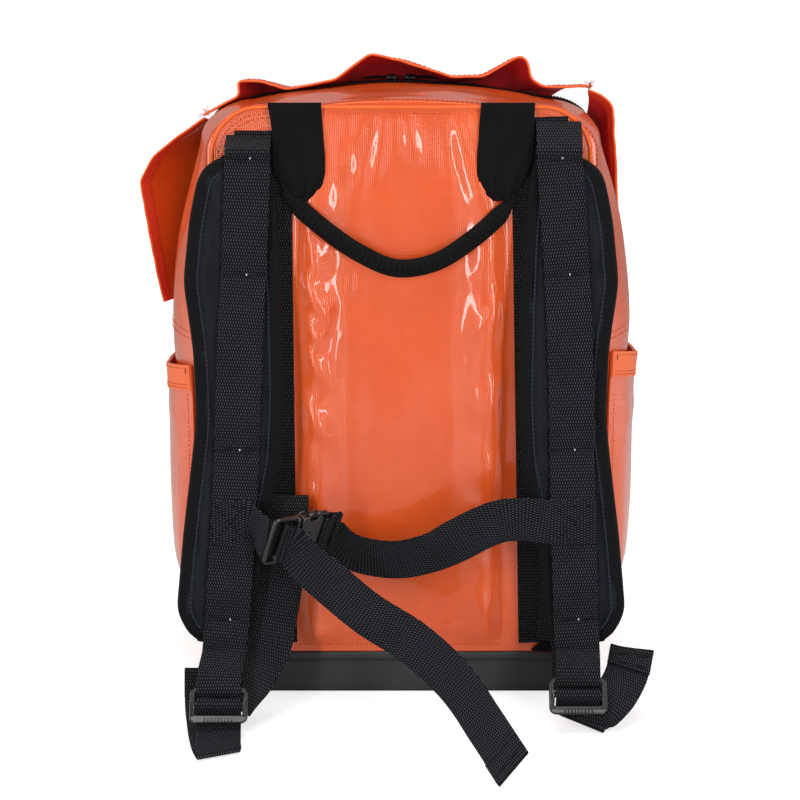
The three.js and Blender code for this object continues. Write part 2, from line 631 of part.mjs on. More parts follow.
for (const { tag, sign } of SIDES) {
  add(`pad_webbing_${tag}`, padWebbing(tag, sign), webbing);
  add(`ladder_lock_${tag}`, ladderLock(tag, sign), glossPlastic);
  add(`adjuster_tail_${tag}`, adjusterTail(tag, sign, TAIL_STOPS[tag]), webbing);
}

// ---- chest strap and its side-release buckle ----
const buckleAxes = (() => {
  const roll = THREE.MathUtils.degToRad(BUCKLE.roll);
  const tilt = THREE.MathUtils.degToRad(BUCKLE.tilt);
  const yaw = THREE.MathUtils.degToRad(BUCKLE.yaw);
  const along = v(Math.cos(yaw) * Math.cos(roll), Math.sin(yaw), Math.cos(yaw) * Math.sin(roll));
  const upright = v(-Math.sin(roll), 0, Math.cos(roll));
  const front = along.clone().cross(upright);
  const up = upright.clone().multiplyScalar(Math.cos(tilt)).addScaledVector(front, Math.sin(tilt));
  const out = front.clone().multiplyScalar(Math.cos(tilt)).addScaledVector(upright, -Math.sin(tilt));
  return { along, up, out };
})();

// A point by the buckle: a along the strap, b up across its width, n out of its face.
function bucklePoint(a, b, n) {
  const { along, up, out } = buckleAxes;
  return v(...BUCKLE.centre).addScaledVector(along, a).addScaledVector(up, b).addScaledVector(out, n);
}

function placedAtBuckle(solid) {
  const { along, up, out } = buckleAxes;
  const place = new THREE.Matrix4().makeBasis(along, up, out);
  place.setPosition(v(...BUCKLE.centre));
  return outward(geometryOf(solid).applyMatrix4(place));
}

// Buckle parts are drawn flat: a along the strap, b across it, n through its thickness.
function buckleBlock(a, b, n, corner = 0) {
  if (!corner) return boxSolid([a[0], b[0], n[0]], [a[1], b[1], n[1]]);
  const middle = (a[0] + a[1]) / 2;
  const shape = roundedRectangle((a[1] - a[0]) / 2, b[0], b[1], corner);
  const depth = n[1] - n[0];
  const solid = new THREE.ExtrudeGeometry(shape, { depth, bevelEnabled: false, curveSegments: 3 });
  return solidOf(solid.translate(middle, 0, n[0]));
}

function bucklePlug() {
  const half = BUCKLE.width / 2;
  return buckleBlock([-32, -6], [-half, half], [-2, 2], 5)
    .add(buckleBlock([-9, -4.4], [-half + 1, half - 1], [-4.5, 4.5]))
    .add(buckleBlock([-5, 12], [-5, 5], [-2.6, 2.6]))
    .subtract(buckleBlock([-28.5, -19.5], [-21.5, 21.5], [-9, 9]))
    .subtract(buckleBlock([-15.5, -9.5], [-21.5, 21.5], [-9, 9]));
}

function buckleSocket() {
  const half = BUCKLE.width / 2;
  return buckleBlock([-3.6, 16.5], [-half, half], [-BUCKLE.thick / 2, BUCKLE.thick / 2], 3)
    .add(buckleBlock([12, 28], [-half, half], [-2.2, 2.2], 4))
    .subtract(buckleBlock([-9, 15], [-21, 21], [-3.4, 3.4]))
    .subtract(buckleBlock([3, 13.5], [-30, 30], [-3.4, 3.4]))
    .subtract(buckleBlock([18, 24], [-21.5, 21.5], [-9, 9]));
}

function buckleArm(sign) {
  const across = (near, far) => [Math.min(sign * near, sign * far), Math.max(sign * near, sign * far)];
  return buckleBlock([-3.8, 12.5], across(13, 18.5), [-2.6, 2.6])
    .add(buckleBlock([4.5, 12], across(18, 25.4), [-2.6, 2.6]));
}
add('buckle_plug', placedAtBuckle(bucklePlug()), glossPlastic);
add('buckle_socket', placedAtBuckle(buckleSocket()), glossPlastic);
add('buckle_arm_upper', placedAtBuckle(buckleArm(1)), glossPlastic);
add('buckle_arm_lower', placedAtBuckle(buckleArm(-1)), glossPlastic);

const chestY = webFront(184) - WEB.thick - 2 * GAP;
const padSlope = [0, PAD_LEAN, 1];
const chestUp = buckleAxes.up.toArray();

// Half a turn round a bar at the buckle, from one face to the other.
function buckleTurn(a, n, radius, fromAngle, toAngle, steps = 6) {
  return Array.from({ length: steps + 1 }, (_, k) => {
    const angle = THREE.MathUtils.degToRad(THREE.MathUtils.lerp(fromAngle, toAngle, k / steps));
    const at = bucklePoint(a + radius * Math.cos(angle), 0, n + radius * Math.sin(angle));
    return { at, side: buckleAxes.up };
  });
}

// Left chest strap: sewn to the pad's webbing, up through the plug's inner slot, over its bar, folded
// back on itself, and then hanging free across the buckle down to the floor.
function chestStrapLeft() {
  const sewn = [stop(-168, chestY, 184, padSlope), stop(-137, chestY, 184, padSlope)];
  const lead = [stop(-131, chestY - 4, 182, [0, -0.1, 1]),
    { at: bucklePoint(-30, 0, -4.6), side: buckleAxes.up }];
  const round = buckleTurn(-17.5, 0, BUCKLE.barRadius, -90, 90);
  const back = buckleTurn(-19.5, BUCKLE.barRadius + 1.4, 1.4, -90, -270, 5);
  const freeStart = bucklePoint(-13, 0, 8).toArray();
  const free = smooth([
    [...freeStart, ...chestUp], [-85, -201, 157, 0.45, -0.15, 0.88], [-64, -206, 140, 0.57, 0, 0.82],
    [-30, -216, 114, 0.57, 0, 0.82], [12, -234, 92, 0.57, 0, 0.82], [48, -262, 66, 0.55, 0, 0.83],
    [71, -298, 43, 0.5, 0.05, 0.86], [93, -338, 21.5, 0.45, 0.1, 0.88]], 22);
  return strap([...sewn, ...lead, ...round, ...back, ...free], WEB.narrow);
}

function chestStrapRight() {
  const before = bucklePoint(50, -18, -5.4).toArray();
  const end = bucklePoint(37, -11, -4.6).toArray();
  const stops = [
    [174, chestY, 184.5, ...padSlope], [134, chestY, 184.5, ...padSlope], [110, chestY - 1, 187, 0, 0, 1],
    [88, chestY, 185, -0.3, 0, 0.95], [68, -173, 177, -0.4, 0, 0.92], [50, -172, 167, -0.4, 0, 0.92],
    [30, -168, 155.5, -0.35, -0.2, 0.92], [0, -158, 145, 0, -0.3, 0.95], [-26, -148, 143.5, 0.15, -0.3, 0.93],
    [-46, -142, 147.5, 0.25, -0.3, 0.91], [...before, ...chestUp], [...end, ...chestUp]];
  return strap(smooth(stops, 30), WEB.narrow);
}

function chestLoopRight() {
  const leg = (a, n) => ({ at: bucklePoint(a, 0, n), side: buckleAxes.up });
  return strap([leg(44, -1.1), leg(35, -1.3), leg(30, -3.6), ...buckleTurn(26, 0, BUCKLE.barRadius, 270, 90),
    leg(30, 3.6), leg(35, 1.3), leg(44, 1.1)], WEB.narrow);
}
add('chest_strap_left', chestStrapLeft(), webbing);
add('chest_strap_right', chestStrapRight(), webbing);
add('chest_loop_right', chestLoopRight(), webbing);

// ---- lower webbing: from its anchor patch up into a slack loop and down to the back of the lock ----
const LOWER_STOPS = {
  left: [[146, -117.4, 52], [132, -118, 110], [112, -120, 170], [105, -124, 190], [104, -132, 197],
    [104, -140, 188], [106, -144, 150], [112, -150, 104, 1, 0, 0.1], [121, -166, 59, 0.97, 0, 0.2],
    [129, -178, 45, 0.9, 0.1, 0.42], [139, -188, 31, 0.84, 0.15, 0.5], [150, -197, 19, 0.88, 0.1, 0.45]],
  right: [[146, -117.4, 52], [150, -118, 110], [153, -120, 160], [154, -124, 178], [155, -132, 184],
    [155, -140, 176], [156, -144, 140], [157, -148, 100], [157, -160, 62], [157, -174, 42], [157, -186, 31]],
};
const PATCH_THICK = 1.5;

for (const { tag, sign } of SIDES) {
  const stops = LOWER_STOPS[tag].map(([x, y, z, ...side]) => [sign * x, y, z, ...side]);
  add(`lower_webbing_${tag}`, strap(smooth(stops, 26), WEB.narrow), webbing);
  const patch = new THREE.Shape();
  patch.moveTo(120, 42);
  patch.lineTo(168, 42);
  patch.lineTo(168, 84);
  patch.closePath();
  const plateBack = PANEL.back - GAP - STRIP.thick - GAP;
  const plate = geometryOf(solidOf(uprightPlate(patch, plateBack - PATCH_THICK, plateBack)));
  add(`anchor_patch_${tag}`, outward(plate.scale(sign, 1, 1)), webbing);
}

export default backpack;
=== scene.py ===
"""Looks for the trauma backpack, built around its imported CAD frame.

Shapes are written in millimetres in the CAD's own frame: +Z up, the harness faces -Y.
make_mesh() is the one place that turns them into metres.
"""
import math

import bmesh
import bpy
import numpy as np
from mathutils import Matrix, Vector, noise


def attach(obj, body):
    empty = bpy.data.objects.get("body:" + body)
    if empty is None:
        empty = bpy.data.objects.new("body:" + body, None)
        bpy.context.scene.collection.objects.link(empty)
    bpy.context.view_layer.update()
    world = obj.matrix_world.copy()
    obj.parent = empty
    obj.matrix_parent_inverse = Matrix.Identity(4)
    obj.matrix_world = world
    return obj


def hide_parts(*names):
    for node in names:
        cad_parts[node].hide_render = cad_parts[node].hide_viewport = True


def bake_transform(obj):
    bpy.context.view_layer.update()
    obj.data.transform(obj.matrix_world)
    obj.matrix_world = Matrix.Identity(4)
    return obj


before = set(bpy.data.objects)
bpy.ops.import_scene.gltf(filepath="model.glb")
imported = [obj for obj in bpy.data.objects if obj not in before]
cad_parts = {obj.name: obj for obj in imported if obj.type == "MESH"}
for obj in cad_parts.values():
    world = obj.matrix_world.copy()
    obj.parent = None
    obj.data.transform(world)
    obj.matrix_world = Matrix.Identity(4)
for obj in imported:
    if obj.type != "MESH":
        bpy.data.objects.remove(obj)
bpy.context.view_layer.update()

MM = 0.001
VOXEL, PRESSURE, SIM_FRAMES = 0.0045, 4, 20
TAU = 2 * math.pi
STRAP_WIDTH, STRIP_WIDTH, STRAP_THICK = 40, 50, 1.7
SIDES = (("left", -1), ("right", 1))


# ---- small helpers -------------------------------------------------------------------------------
def unit(vectors):
    vectors = np.asarray(vectors, float)
    return vectors / np.maximum(np.linalg.norm(vectors, axis=-1, keepdims=True), 1e-9)


def table(pairs, value):
    """Straight-line interpolation in a list of (key, value) pairs."""
    keys, values = zip(*pairs)
    return np.interp(value, keys, values)


def smooth_step(value):
    value = np.clip(value, 0, 1)
    return value * value * (3 - 2 * value)


def bump_at(value, centre, width):
    return np.exp(-(((value - centre) / width) ** 2))


def ripple(point, size, seed=0.0):
    """Smooth noise from -1 to 1 at a point, with waves about size mm long."""
    x, y, z = (float(c) / size for c in point)
    return noise.noise(Vector((x + seed, y - seed, z + 0.37 * seed)))


def spline(stops, step=2.5):
    """Rows along a centripetal Catmull-Rom curve; each stop is (x, y, z, more values that are blended)."""
    stops = np.array(stops, float)
    points = stops[:, :3]
    ends = np.vstack([2 * points[0] - points[1], points, 2 * points[-1] - points[-2]])
    rows = []
    for i in range(len(points) - 1):
        a, b, c, d = ends[i:i + 4]
        t1 = np.linalg.norm(b - a) ** 0.5
        t2 = t1 + np.linalg.norm(c - b) ** 0.5
        t3 = t2 + np.linalg.norm(d - c) ** 0.5
        count = max(2, int(np.ceil(np.linalg.norm(c - b) / step)))
        last = i == len(points) - 2
        for k in range(count + (1 if last else 0)):
            t = t1 + (t2 - t1) * k / count
            ab = a + (b - a) * t / t1
            bc = b + (c - b) * (t - t1) / (t2 - t1)
            cd = c + (d - c) * (t - t2) / (t3 - t2)
            abc = ab + (bc - ab) * t / t2
            bcd = bc + (cd - bc) * (t - t1) / (t3 - t1)
            at = abc + (bcd - abc) * (t - t1) / (t2 - t1)
            mix = smooth_step(k / count)
            rows.append(np.concatenate([at, stops[i, 3:] * (1 - mix) + stops[i + 1, 3:] * mix]))
    return np.array(rows)


def lengths(points):
    steps = np.linalg.norm(np.diff(points, axis=0), axis=1)
    return np.concatenate([[0], np.cumsum(steps)])


def at_length(path, run, reach):
    """The point or points at a length along a path whose running lengths are run."""
    return np.stack([np.interp(reach, run, column) for column in np.asarray(path).T], axis=-1)


# ---- materials -----------------------------------------------------------------------------------
class Value:
    """A number inside a material; arithmetic on it adds Math nodes."""

    def __init__(self, tree, socket):
        self.tree = tree
        self.socket = socket

    def math(self, operation, *others):
        node = self.tree.nodes.new("ShaderNodeMath")
        node.operation = operation
        for socket, value in zip(node.inputs, (self, *others)):
            if isinstance(value, Value):
                self.tree.links.new(value.socket, socket)
            else:
                socket.default_value = value
        return Value(self.tree, node.outputs[0])

    def __add__(self, other):
        return self.math("ADD", other)

    def __sub__(self, other):
        return self.math("SUBTRACT", other)

    def __mul__(self, other):
        return self.math("MULTIPLY", other)

    def wave(self, pitch):
        return (self * (TAU / pitch)).math("SINE")

    def limit(self):
        return self.math("MAXIMUM", 0.0).math("MINIMUM", 1.0)


class Finish:
    """A procedural material: patterns read the mesh's "weave" attribute, in mm, or the object's own place."""

    def __init__(self, name, slot, on_cad=False, **settings):
        self.slot = slot
        self.material = bpy.data.materials.new(name)
        self.material.use_nodes = True
        self.tree = self.material.node_tree
        self.shader = self.tree.nodes["Principled BSDF"]
        for key, value in settings.items():
            self.shader.inputs[key.replace("_", " ")].default_value = value
        self.place = self.new("ShaderNodeTexCoord").outputs["Object"] if on_cad else self.attribute()
        if on_cad:
            scaled = self.new("ShaderNodeVectorMath")
            scaled.operation = "SCALE"
            scaled.inputs["Scale"].default_value = 1000
            self.tree.links.new(self.place, scaled.inputs[0])
            self.place = scaled.outputs[0]
        parts = self.new("ShaderNodeSeparateXYZ")
        self.tree.links.new(self.place, parts.inputs[0])
        self.u, self.v, self.w = (Value(self.tree, parts.outputs[i]) for i in range(3))

    def new(self, kind):
        return self.tree.nodes.new(kind)

    def attribute(self):
        node = self.new("ShaderNodeAttribute")
        node.attribute_name = "weave"
        return node.outputs["Vector"]

    def noise(self, size, detail=2.0, stretch=(1, 1, 1)):
        """Noise from 0 to 1 with features about size mm wide."""
        mapping = self.new("ShaderNodeMapping")
        mapping.inputs["Scale"].default_value = [s / size for s in stretch]
        self.tree.links.new(self.place, mapping.inputs["Vector"])
        node = self.new("ShaderNodeTexNoise")
        node.inputs["Scale"].default_value = 1.0
        node.inputs["Detail"].default_value = detail
        self.tree.links.new(mapping.outputs[0], node.inputs["Vector"])
        return Value(self.tree, node.outputs[0])

    def colour(self, low, high, factor):
        """Base colour from low to high as factor goes from 0 to 1."""
        mix = self.new("ShaderNodeMix")
        mix.data_type = "RGBA"
        colours = [s for s in mix.inputs if s.type == "RGBA"]
        colours[0].default_value = (*low, 1)
        colours[1].default_value = (*high, 1)
        self.tree.links.new(factor.limit().socket, mix.inputs["Factor"])
        result = [s for s in mix.outputs if s.type == "RGBA"][0]
        self.tree.links.new(result, self.shader.inputs["Base Color"])
        return self

    def roughness(self, value):
        self.tree.links.new(value.limit().socket, self.shader.inputs["Roughness"])
        return self

    def bump(self, height, depth_mm, strength=1.0):
        node = self.new("ShaderNodeBump")
        node.inputs["Distance"].default_value = depth_mm * MM
        node.inputs["Strength"].default_value = strength
        self.tree.links.new(height.socket, node.inputs["Height"])
        self.tree.links.new(node.outputs[0], self.shader.inputs["Normal"])
        return self


def coated_cloth(name, slot, low, high, rough, emboss, **settings):
    """Coated tarpaulin: its base cloth shows through as a fine crossed diagonal emboss."""
    made = Finish(name, slot, **settings)
    diagonal = (made.u + made.v).wave(3.3) * (made.u - made.v).wave(3.3)
    drift = made.noise(90.0)
    grime = made.noise(14.0, 4.0)
    made.colour(low, high, drift * 0.9 + grime * 0.35 + diagonal * 0.06 - 0.2)
    made.roughness(grime * 0.16 + diagonal * 0.05 + rough)
    return made.bump(diagonal + grime * 0.6, emboss)


def woven_strap(name, slot, row, dot, low, high, depth):
    """Webbing: rows of short picks, each row half a pick aside from the one before."""
    made = Finish(name, slot, Specular_IOR_Level=0.09, Sheen_Weight=0.012, Sheen_Roughness=0.5)
    slant = made.v.wave(row * 4) * 0.35
    picks = (made.u + slant).wave(dot) * made.v.wave(row * 2)
    wear = made.noise(26.0, 3.0)
    made.colour(low, high, picks * 1.35 + wear * 0.5 - 0.52)
    made.roughness(wear * 0.25 + 0.55)
    return made.bump(picks + wear * 0.5, depth)


def pad_fabric(name, slot):
    made = Finish(name, slot, Specular_IOR_Level=0.16, Sheen_Weight=0.012, Sheen_Roughness=0.4)
    twill = (made.u + made.v * 0.5).wave(1.7)
    threads = made.noise(3.0, 3.0, stretch=(1, 0.18, 1))
    drift = made.noise(40.0)
    mottle = twill * 0.18 + threads * 0.9 + drift * 0.5 - 0.45
    made.colour((0.0014, 0.0017, 0.0026), (0.010, 0.013, 0.021), mottle)
    made.roughness(threads * 0.3 + 0.38)
    return made.bump(twill * 0.5 + threads * 2.0 + drift, 0.42)


def moulded(name, slot, low, high, rough, grain, on_cad=False, **settings):
    """Moulded plastic with a fine spark-eroded grain, faint flow marks and handling scuffs."""
    made = Finish(name, slot, on_cad=on_cad, **settings)
    fine = made.noise(0.9, 2.0)
    flow = made.noise(30.0, 2.0)
    scuff = made.noise(5.0, 5.0, stretch=(1, 0.25, 1))
    made.colour(low, high, flow * 0.6 + scuff * 0.6 - 0.25)
    made.roughness(scuff * 0.2 + fine * 0.08 + rough)
    return made.bump(fine + scuff * 0.4, grain)


def thread_finish(name, slot, low, high, on_cad=False):
    made = Finish(name, slot, on_cad=on_cad, Specular_IOR_Level=0.12, Sheen_Weight=0.02)
    twist = (made.u + made.v).wave(0.7)
    made.colour(low, high, twist * 0.4 + made.noise(6.0) * 0.8)
    made.roughness(twist * 0.1 + 0.6)
    return made.bump(twist, 0.05)


TARP = coated_cloth("tarp", "orange_tarp", (0.60, 0.064, 0.008), (0.74, 0.108, 0.015), 0.13, 0.085,
                    Specular_IOR_Level=0.45, Coat_Weight=0.55, Coat_Roughness=0.07)
# A matte copy of the tarp for piping, hems and folds; its lighter colour is a painted highlight on these
# rounded edges.
TARP_EDGE_PAINTED_HIGHLIGHT = coated_cloth("tarp_edge_painted_highlight", "orange_tarp", (0.70, 0.09, 0.012), (0.84, 0.16, 0.03), 0.38, 0.05,
                         Specular_IOR_Level=0.35)
INSIDE = coated_cloth("tarp_inside", "tarp_inside", (0.40, 0.014, 0.018), (0.66, 0.027, 0.028), 0.50, 0.04,
                      Specular_IOR_Level=0.35)
WEBBING = woven_strap("webbing", "webbing", 2.9, 2.3, (0.0014, 0.0014, 0.0018), (0.062, 0.067, 0.080), 0.36)
SATIN = woven_strap("satin_webbing", "webbing", 1.3, 1.5, (0.0012, 0.0012, 0.0013),
                    (0.0085, 0.0088, 0.0095), 0.10)
RIB = woven_strap("binding_tape", "webbing", 1.1, 5.0, (0.0012, 0.0012, 0.0016), (0.011, 0.012, 0.016), 0.16)
PAD_CLOTH = pad_fabric("pad_cloth", "pad_cloth")
# The pad ridge finish is lighter than the pad cloth: a painted highlight along the ridge inside the binding.
PAD_RIDGE_PAINTED_HIGHLIGHT = woven_strap("pad_ridge_painted_highlight", "webbing", 1.0, 1.6, (0.010, 0.012, 0.018), (0.045, 0.052, 0.070), 0.12)
TUB = moulded("tub_plastic", "tub_plastic", (0.008, 0.0085, 0.010), (0.022, 0.0225, 0.026), 0.40, 0.04)
GLOSS = moulded("gloss_plastic", "gloss_plastic", (0.003, 0.003, 0.004), (0.012, 0.012, 0.014), 0.16, 0.008)
BOARD = moulded("board_plastic_cad", "board_plastic", (0.035, 0.037, 0.040), (0.07, 0.072, 0.076), 0.5, 0.05,
                on_cad=True)
ZIP_TAPE = woven_strap("zip_tape", "zip_tape", 1.0, 1.2, (0.004, 0.004, 0.005), (0.022, 0.023, 0.026), 0.10)
LINER = coated_cloth("liner", "liner", (0.22, 0.24, 0.26), (0.34, 0.36, 0.38), 0.62, 0.06)
FOAM = coated_cloth("foam_cover", "foam", (0.06, 0.065, 0.07), (0.11, 0.115, 0.12), 0.75, 0.12)
BLACK_THREAD = thread_finish("black_thread", "webbing", (0.002, 0.002, 0.0025), (0.009, 0.010, 0.012))
ORANGE_THREAD = thread_finish("orange_thread", "orange_tarp", (0.50, 0.050, 0.008), (0.68, 0.090, 0.015))
PALE_THREAD = thread_finish("pale_thread", "webbing", (0.45, 0.47, 0.50), (0.75, 0.77, 0.80))


# ---- mesh making ---------------------------------------------------------------------------------
def make_mesh(name, points, faces, finish, weave=None, body="root", replaces=(), backing=None,
              thick=None, offset=0.0, sharp=40, levels=0):
    """An object in metres from points in mm. thick turns a surface into cloth; backing finishes its back."""
    points = np.asarray(points, float)
    mesh = bpy.data.meshes.new(name)
    mesh.from_pydata((points * MM).tolist(), [], faces)
    pattern = mesh.attributes.new("weave", "FLOAT_VECTOR", "POINT")
    weave = points[:, [0, 2, 1]] if weave is None else np.asarray(weave, float)
    pattern.data.foreach_set("vector", weave.astype(np.float32).ravel())
    for each in (finish, backing or finish):
        mesh.materials.append(each.material)
    obj = bpy.data.objects.new(name, mesh)
    bpy.context.scene.collection.objects.link(obj)
    if thick:
        solid = obj.modifiers.new("thickness", "SOLIDIFY")
        solid.thickness = thick * MM
        solid.offset = offset
        solid.material_offset = 1 if backing else 0
    if levels:
        rounder = obj.modifiers.new("round", "SUBSURF")
        rounder.levels = rounder.render_levels = levels
    bake_modifiers(obj, sharp)
    if body:
        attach(obj, body)
    if replaces:
        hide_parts(*replaces)
    return obj


def bake_modifiers(obj, sharp):
    if obj.modifiers:
        bpy.context.view_layer.update()
        baked = bpy.data.meshes.new_from_object(obj.evaluated_get(bpy.context.evaluated_depsgraph_get()))
        obj.modifiers.clear()
        obj.data = baked
    obj.data.polygons.foreach_set("use_smooth", [True] * len(obj.data.polygons))
    obj.data.set_sharp_from_angle(angle=math.radians(sharp))


def grid_faces(rows, columns, wrap=False, flip=False):
    faces = []
    for i in range(rows - 1):
        for j in range(columns if wrap else columns - 1):
            k = (j + 1) % columns
            face = (i * columns + j, i * columns + k, (i + 1) * columns + k, (i + 1) * columns + j)
            faces.append(face[::-1] if flip else face)
    return faces


def loft_faces(rings, size, first=0):
    """Faces of a closed tube of rings, capped at both ends; first is the number of its first point."""
    last = (rings - 1) * size
    faces = grid_faces(rings, size, wrap=True) + [tuple(range(size))[::-1], tuple(range(last, last + size))]
    return [tuple(first + i for i in face) for face in faces]


def pillow_faces(rows, columns):
    """Faces of two facing grids of points, joined around their rim."""
    size = rows * columns
    front = grid_faces(rows, columns)
    rim = [*range(columns), *(r * columns + columns - 1 for r in range(1, rows)),
           *range(size - 2, size - columns - 1, -1), *(r * columns for r in range(rows - 2, 0, -1))]
    joined = [(a, b, b + size, a + size)[::-1] for a, b in zip(rim, rim[1:] + rim[:1])]
    return front + [tuple(i + size for i in face[::-1]) for face in front] + joined


def cloth_grid(name, grid, finish, flip=False, **options):
    """A surface from a grid of points; its weave runs along the grid's own rows and columns."""
    grid = np.asarray(grid, float)
    rows, columns = grid.shape[:2]
    across = np.stack([lengths(row) for row in grid])
    along = np.stack([lengths(grid[:, j]) for j in range(columns)], axis=1)
    across = across - across[:, [columns // 2]]
    weave = np.stack([across, along, np.zeros_like(along)], axis=2)
    return make_mesh(name, grid.reshape(-1, 3), grid_faces(rows, columns, flip=flip), finish,
                     weave=weave.reshape(-1, 3), **options)


def sweep(name, centres, first, second, section, finish, closed=False, **options):
    """Carries a closed section of (first, second) offsets along a path, with caps on an open one."""
    centres, first, second = (np.asarray(a, float) for a in (centres, first, second))
    count, size = len(centres), len(section)
    section = np.asarray(section, float)
    points = (centres[:, None, :] + first[:, None, :] * section[None, :, 0:1]
              + second[:, None, :] * section[None, :, 1:2]).reshape(-1, 3)
    run = np.repeat(lengths(centres), size)
    weave = np.stack([np.tile(section[:, 0], count), run, np.tile(section[:, 1], count)], axis=1)
    faces = loft_faces(count, size)
    if closed:
        last = (count - 1) * size
        faces[-2:] = [(last + j, last + (j + 1) % size, (j + 1) % size, j) for j in range(size)]
    return make_mesh(name, points, faces, finish, weave=weave, **options)


def path_frame(centres, hint, closed=False):
    """Tangents, and two directions square to them: one near hint, and the one square to both."""
    centres = np.asarray(centres, float)
    if closed:
        tangent = unit(np.roll(centres, -1, 0) - np.roll(centres, 1, 0))
    else:
        tangent = unit(np.gradient(centres, axis=0))
    hint = np.broadcast_to(np.asarray(hint, float), centres.shape)
    side = unit(hint - tangent * np.sum(hint * tangent, axis=1, keepdims=True))
    return tangent, side, np.cross(tangent, side)


def round_section(radius, sides=8, squash=1.0):
    angles = [TAU * k / sides for k in range(sides)]
    return [(radius * math.cos(a), squash * radius * math.sin(a)) for a in angles]


def tube(name, centres, radius, finish, hint=(0, -1, 0), squash=1.0, sides=8, closed=False, **options):
    _, side, other = path_frame(centres, hint, closed)
    section = round_section(radius, sides, squash)
    return sweep(name, centres, side, other, section, finish, closed=closed, **options)


def flat_section(width, thick, columns=9):
    """A strap's section: flat faces and round edges."""
    half, r = width / 2, thick / 2
    across = np.linspace(-(half - r), half - r, columns)
    edge = [(half - r + r * math.sin(a), r * math.cos(a)) for a in (math.pi * k / 4 for k in (1, 2, 3))]
    top = [(x, r) for x in across]
    bottom = [(x, -r) for x in across[::-1]]
    return top + edge + bottom + [(-x, -y) for x, y in edge]


def strap(name, stops, width, finish, thick=STRAP_THICK, step=2.2, wobble=0.35, slanted=False, **options):
    """A flat strap through stops of (x, y, z, side x, side y, side z); slanted rows keep their own sides."""
    rows = spline(stops, step)
    tangent, side, face = path_frame(rows[:, :3], rows[:, 3:6])
    if slanted:
        side = rows[:, 3:6]
        face = unit(np.cross(tangent, side))
    centres = rows[:, :3].copy()
    seed = (sum(map(ord, name)) % 97) * 0.13
    section = flat_section(width, thick)
    obj = sweep(name, centres, side, face, section, finish, **options)
    if wobble:
        co = np.array([v.co[:] for v in obj.data.vertices])
        size = len(section)
        for k in range(len(centres)):
            for j in range(size):
                i = k * size + j
                co[i] += face[k] * wobble * MM * ripple(co[i] / MM, 26.0, seed)
        obj.data.vertices.foreach_set("co", co.ravel())
    return obj, centres, side, face


class Stitching:
    """Gathers many small thread stitches into one mesh."""

    RINGS = ((0.0, 0.25, -0.6), (0.2, 0.9, 0.0), (0.8, 0.9, 0.0), (1.0, 0.25, -0.6))

    def __init__(self):
        self.points, self.faces, self.weave = [], [], []

    def stitch(self, a, b, normal, radius=0.42, sides=6):
        a, b, normal = (np.asarray(p, float) for p in (a, b, normal))
        along = unit(b - a)
        normal = unit(normal - along * np.dot(normal, along))
        other = np.cross(along, normal)
        start = len(self.points)
        for t, fat, sink in self.RINGS:
            centre = a + (b - a) * t + normal * radius * (0.35 + sink)
            for k in range(sides):
                angle = TAU * k / sides
                spoke = normal * math.cos(angle) + other * math.sin(angle)
                self.points.append(centre + radius * fat * spoke)
                self.weave.append((k, t * 3, 0))
        self.faces += loft_faces(len(self.RINGS), sides, start)

    def seam(self, path, normals, pitch=4.4, length=3.1, radius=0.42):
        """A row of stitches along a path."""
        path = np.asarray(path, float)
        normals = np.broadcast_to(np.asarray(normals, float), path.shape)
        run = lengths(path)
        for start in np.arange(0.6, run[-1] - length, pitch):
            ends = at_length(path, run, np.array((start, start + length)))
            self.stitch(*ends, at_length(normals, run, start), radius)

    def tack(self, centre, side, normal, width, rows=3, gap=1.5):
        """A bar tack: close zigzag rows across a strap."""
        centre, side, normal = np.asarray(centre, float), unit(side), unit(normal)
        down = np.cross(side, normal)
        count = int(width / 2.0)
        for row in range(rows):
            for k in range(count):
                u = (k + 0.5) * width / count - width / 2
                a = centre + side * (u - 0.7) + down * ((row - (rows - 1) / 2) * gap - 0.5)
                self.stitch(a, a + side * 1.4 + down * 1.0, normal, 0.36, sides=5)

    def done(self, name, finish, body="root"):
        return make_mesh(name, self.points, self.faces, finish, weave=self.weave, body=body, sharp=80)


def plate(name, outlines, thick, bevel, place, finish, body="root", replaces=(), bend=None):
    """A moulded plate with rounded edges: outlines are closed (x, y) loops, the outside one and its holes."""
    curve = bpy.data.curves.new(name, "CURVE")
    curve.dimensions = "2D"
    curve.fill_mode = "BOTH"
    curve.extrude = (thick / 2 - bevel) * MM
    curve.bevel_depth = bevel * MM
    curve.bevel_resolution = 3
    curve.offset = -bevel * MM
    for loop in outlines:
        line = curve.splines.new("POLY")
        line.points.add(len(loop) - 1)
        for point, (x, y) in zip(line.points, loop):
            point.co = (x * MM, y * MM, 0, 1)
        line.use_cyclic_u = True
    holder = bpy.data.objects.new(name + "_curve", curve)
    bpy.context.scene.collection.objects.link(holder)
    bpy.context.view_layer.update()
    mesh = bpy.data.meshes.new_from_object(holder.evaluated_get(bpy.context.evaluated_depsgraph_get()))
    bpy.data.objects.remove(holder)
    points = np.array([v.co[:] for v in mesh.vertices]) / MM
    faces = [tuple(p.vertices) for p in mesh.polygons]
    weave = points.copy()
    if bend is not None:
        points = bend(points)
    matrix = np.array(place)
    points = points @ matrix[:3, :3].T + matrix[:3, 3]
    return make_mesh(name, points, faces, finish, weave=weave, body=body, replaces=replaces, sharp=50)


def rounded_loop(x0, x1, y0, y1, radius, steps=5):
    loop = []
    for cx, cy, start in ((x1 - radius, y0 + radius, -90), (x1 - radius, y1 - radius, 0),
                          (x0 + radius, y1 - radius, 90), (x0 + radius, y0 + radius, 180)):
        for k in range(steps + 1):
            angle = math.radians(start + 90 * k / steps)
            loop.append((cx + radius * math.cos(angle), cy + radius * math.sin(angle)))
    return loop


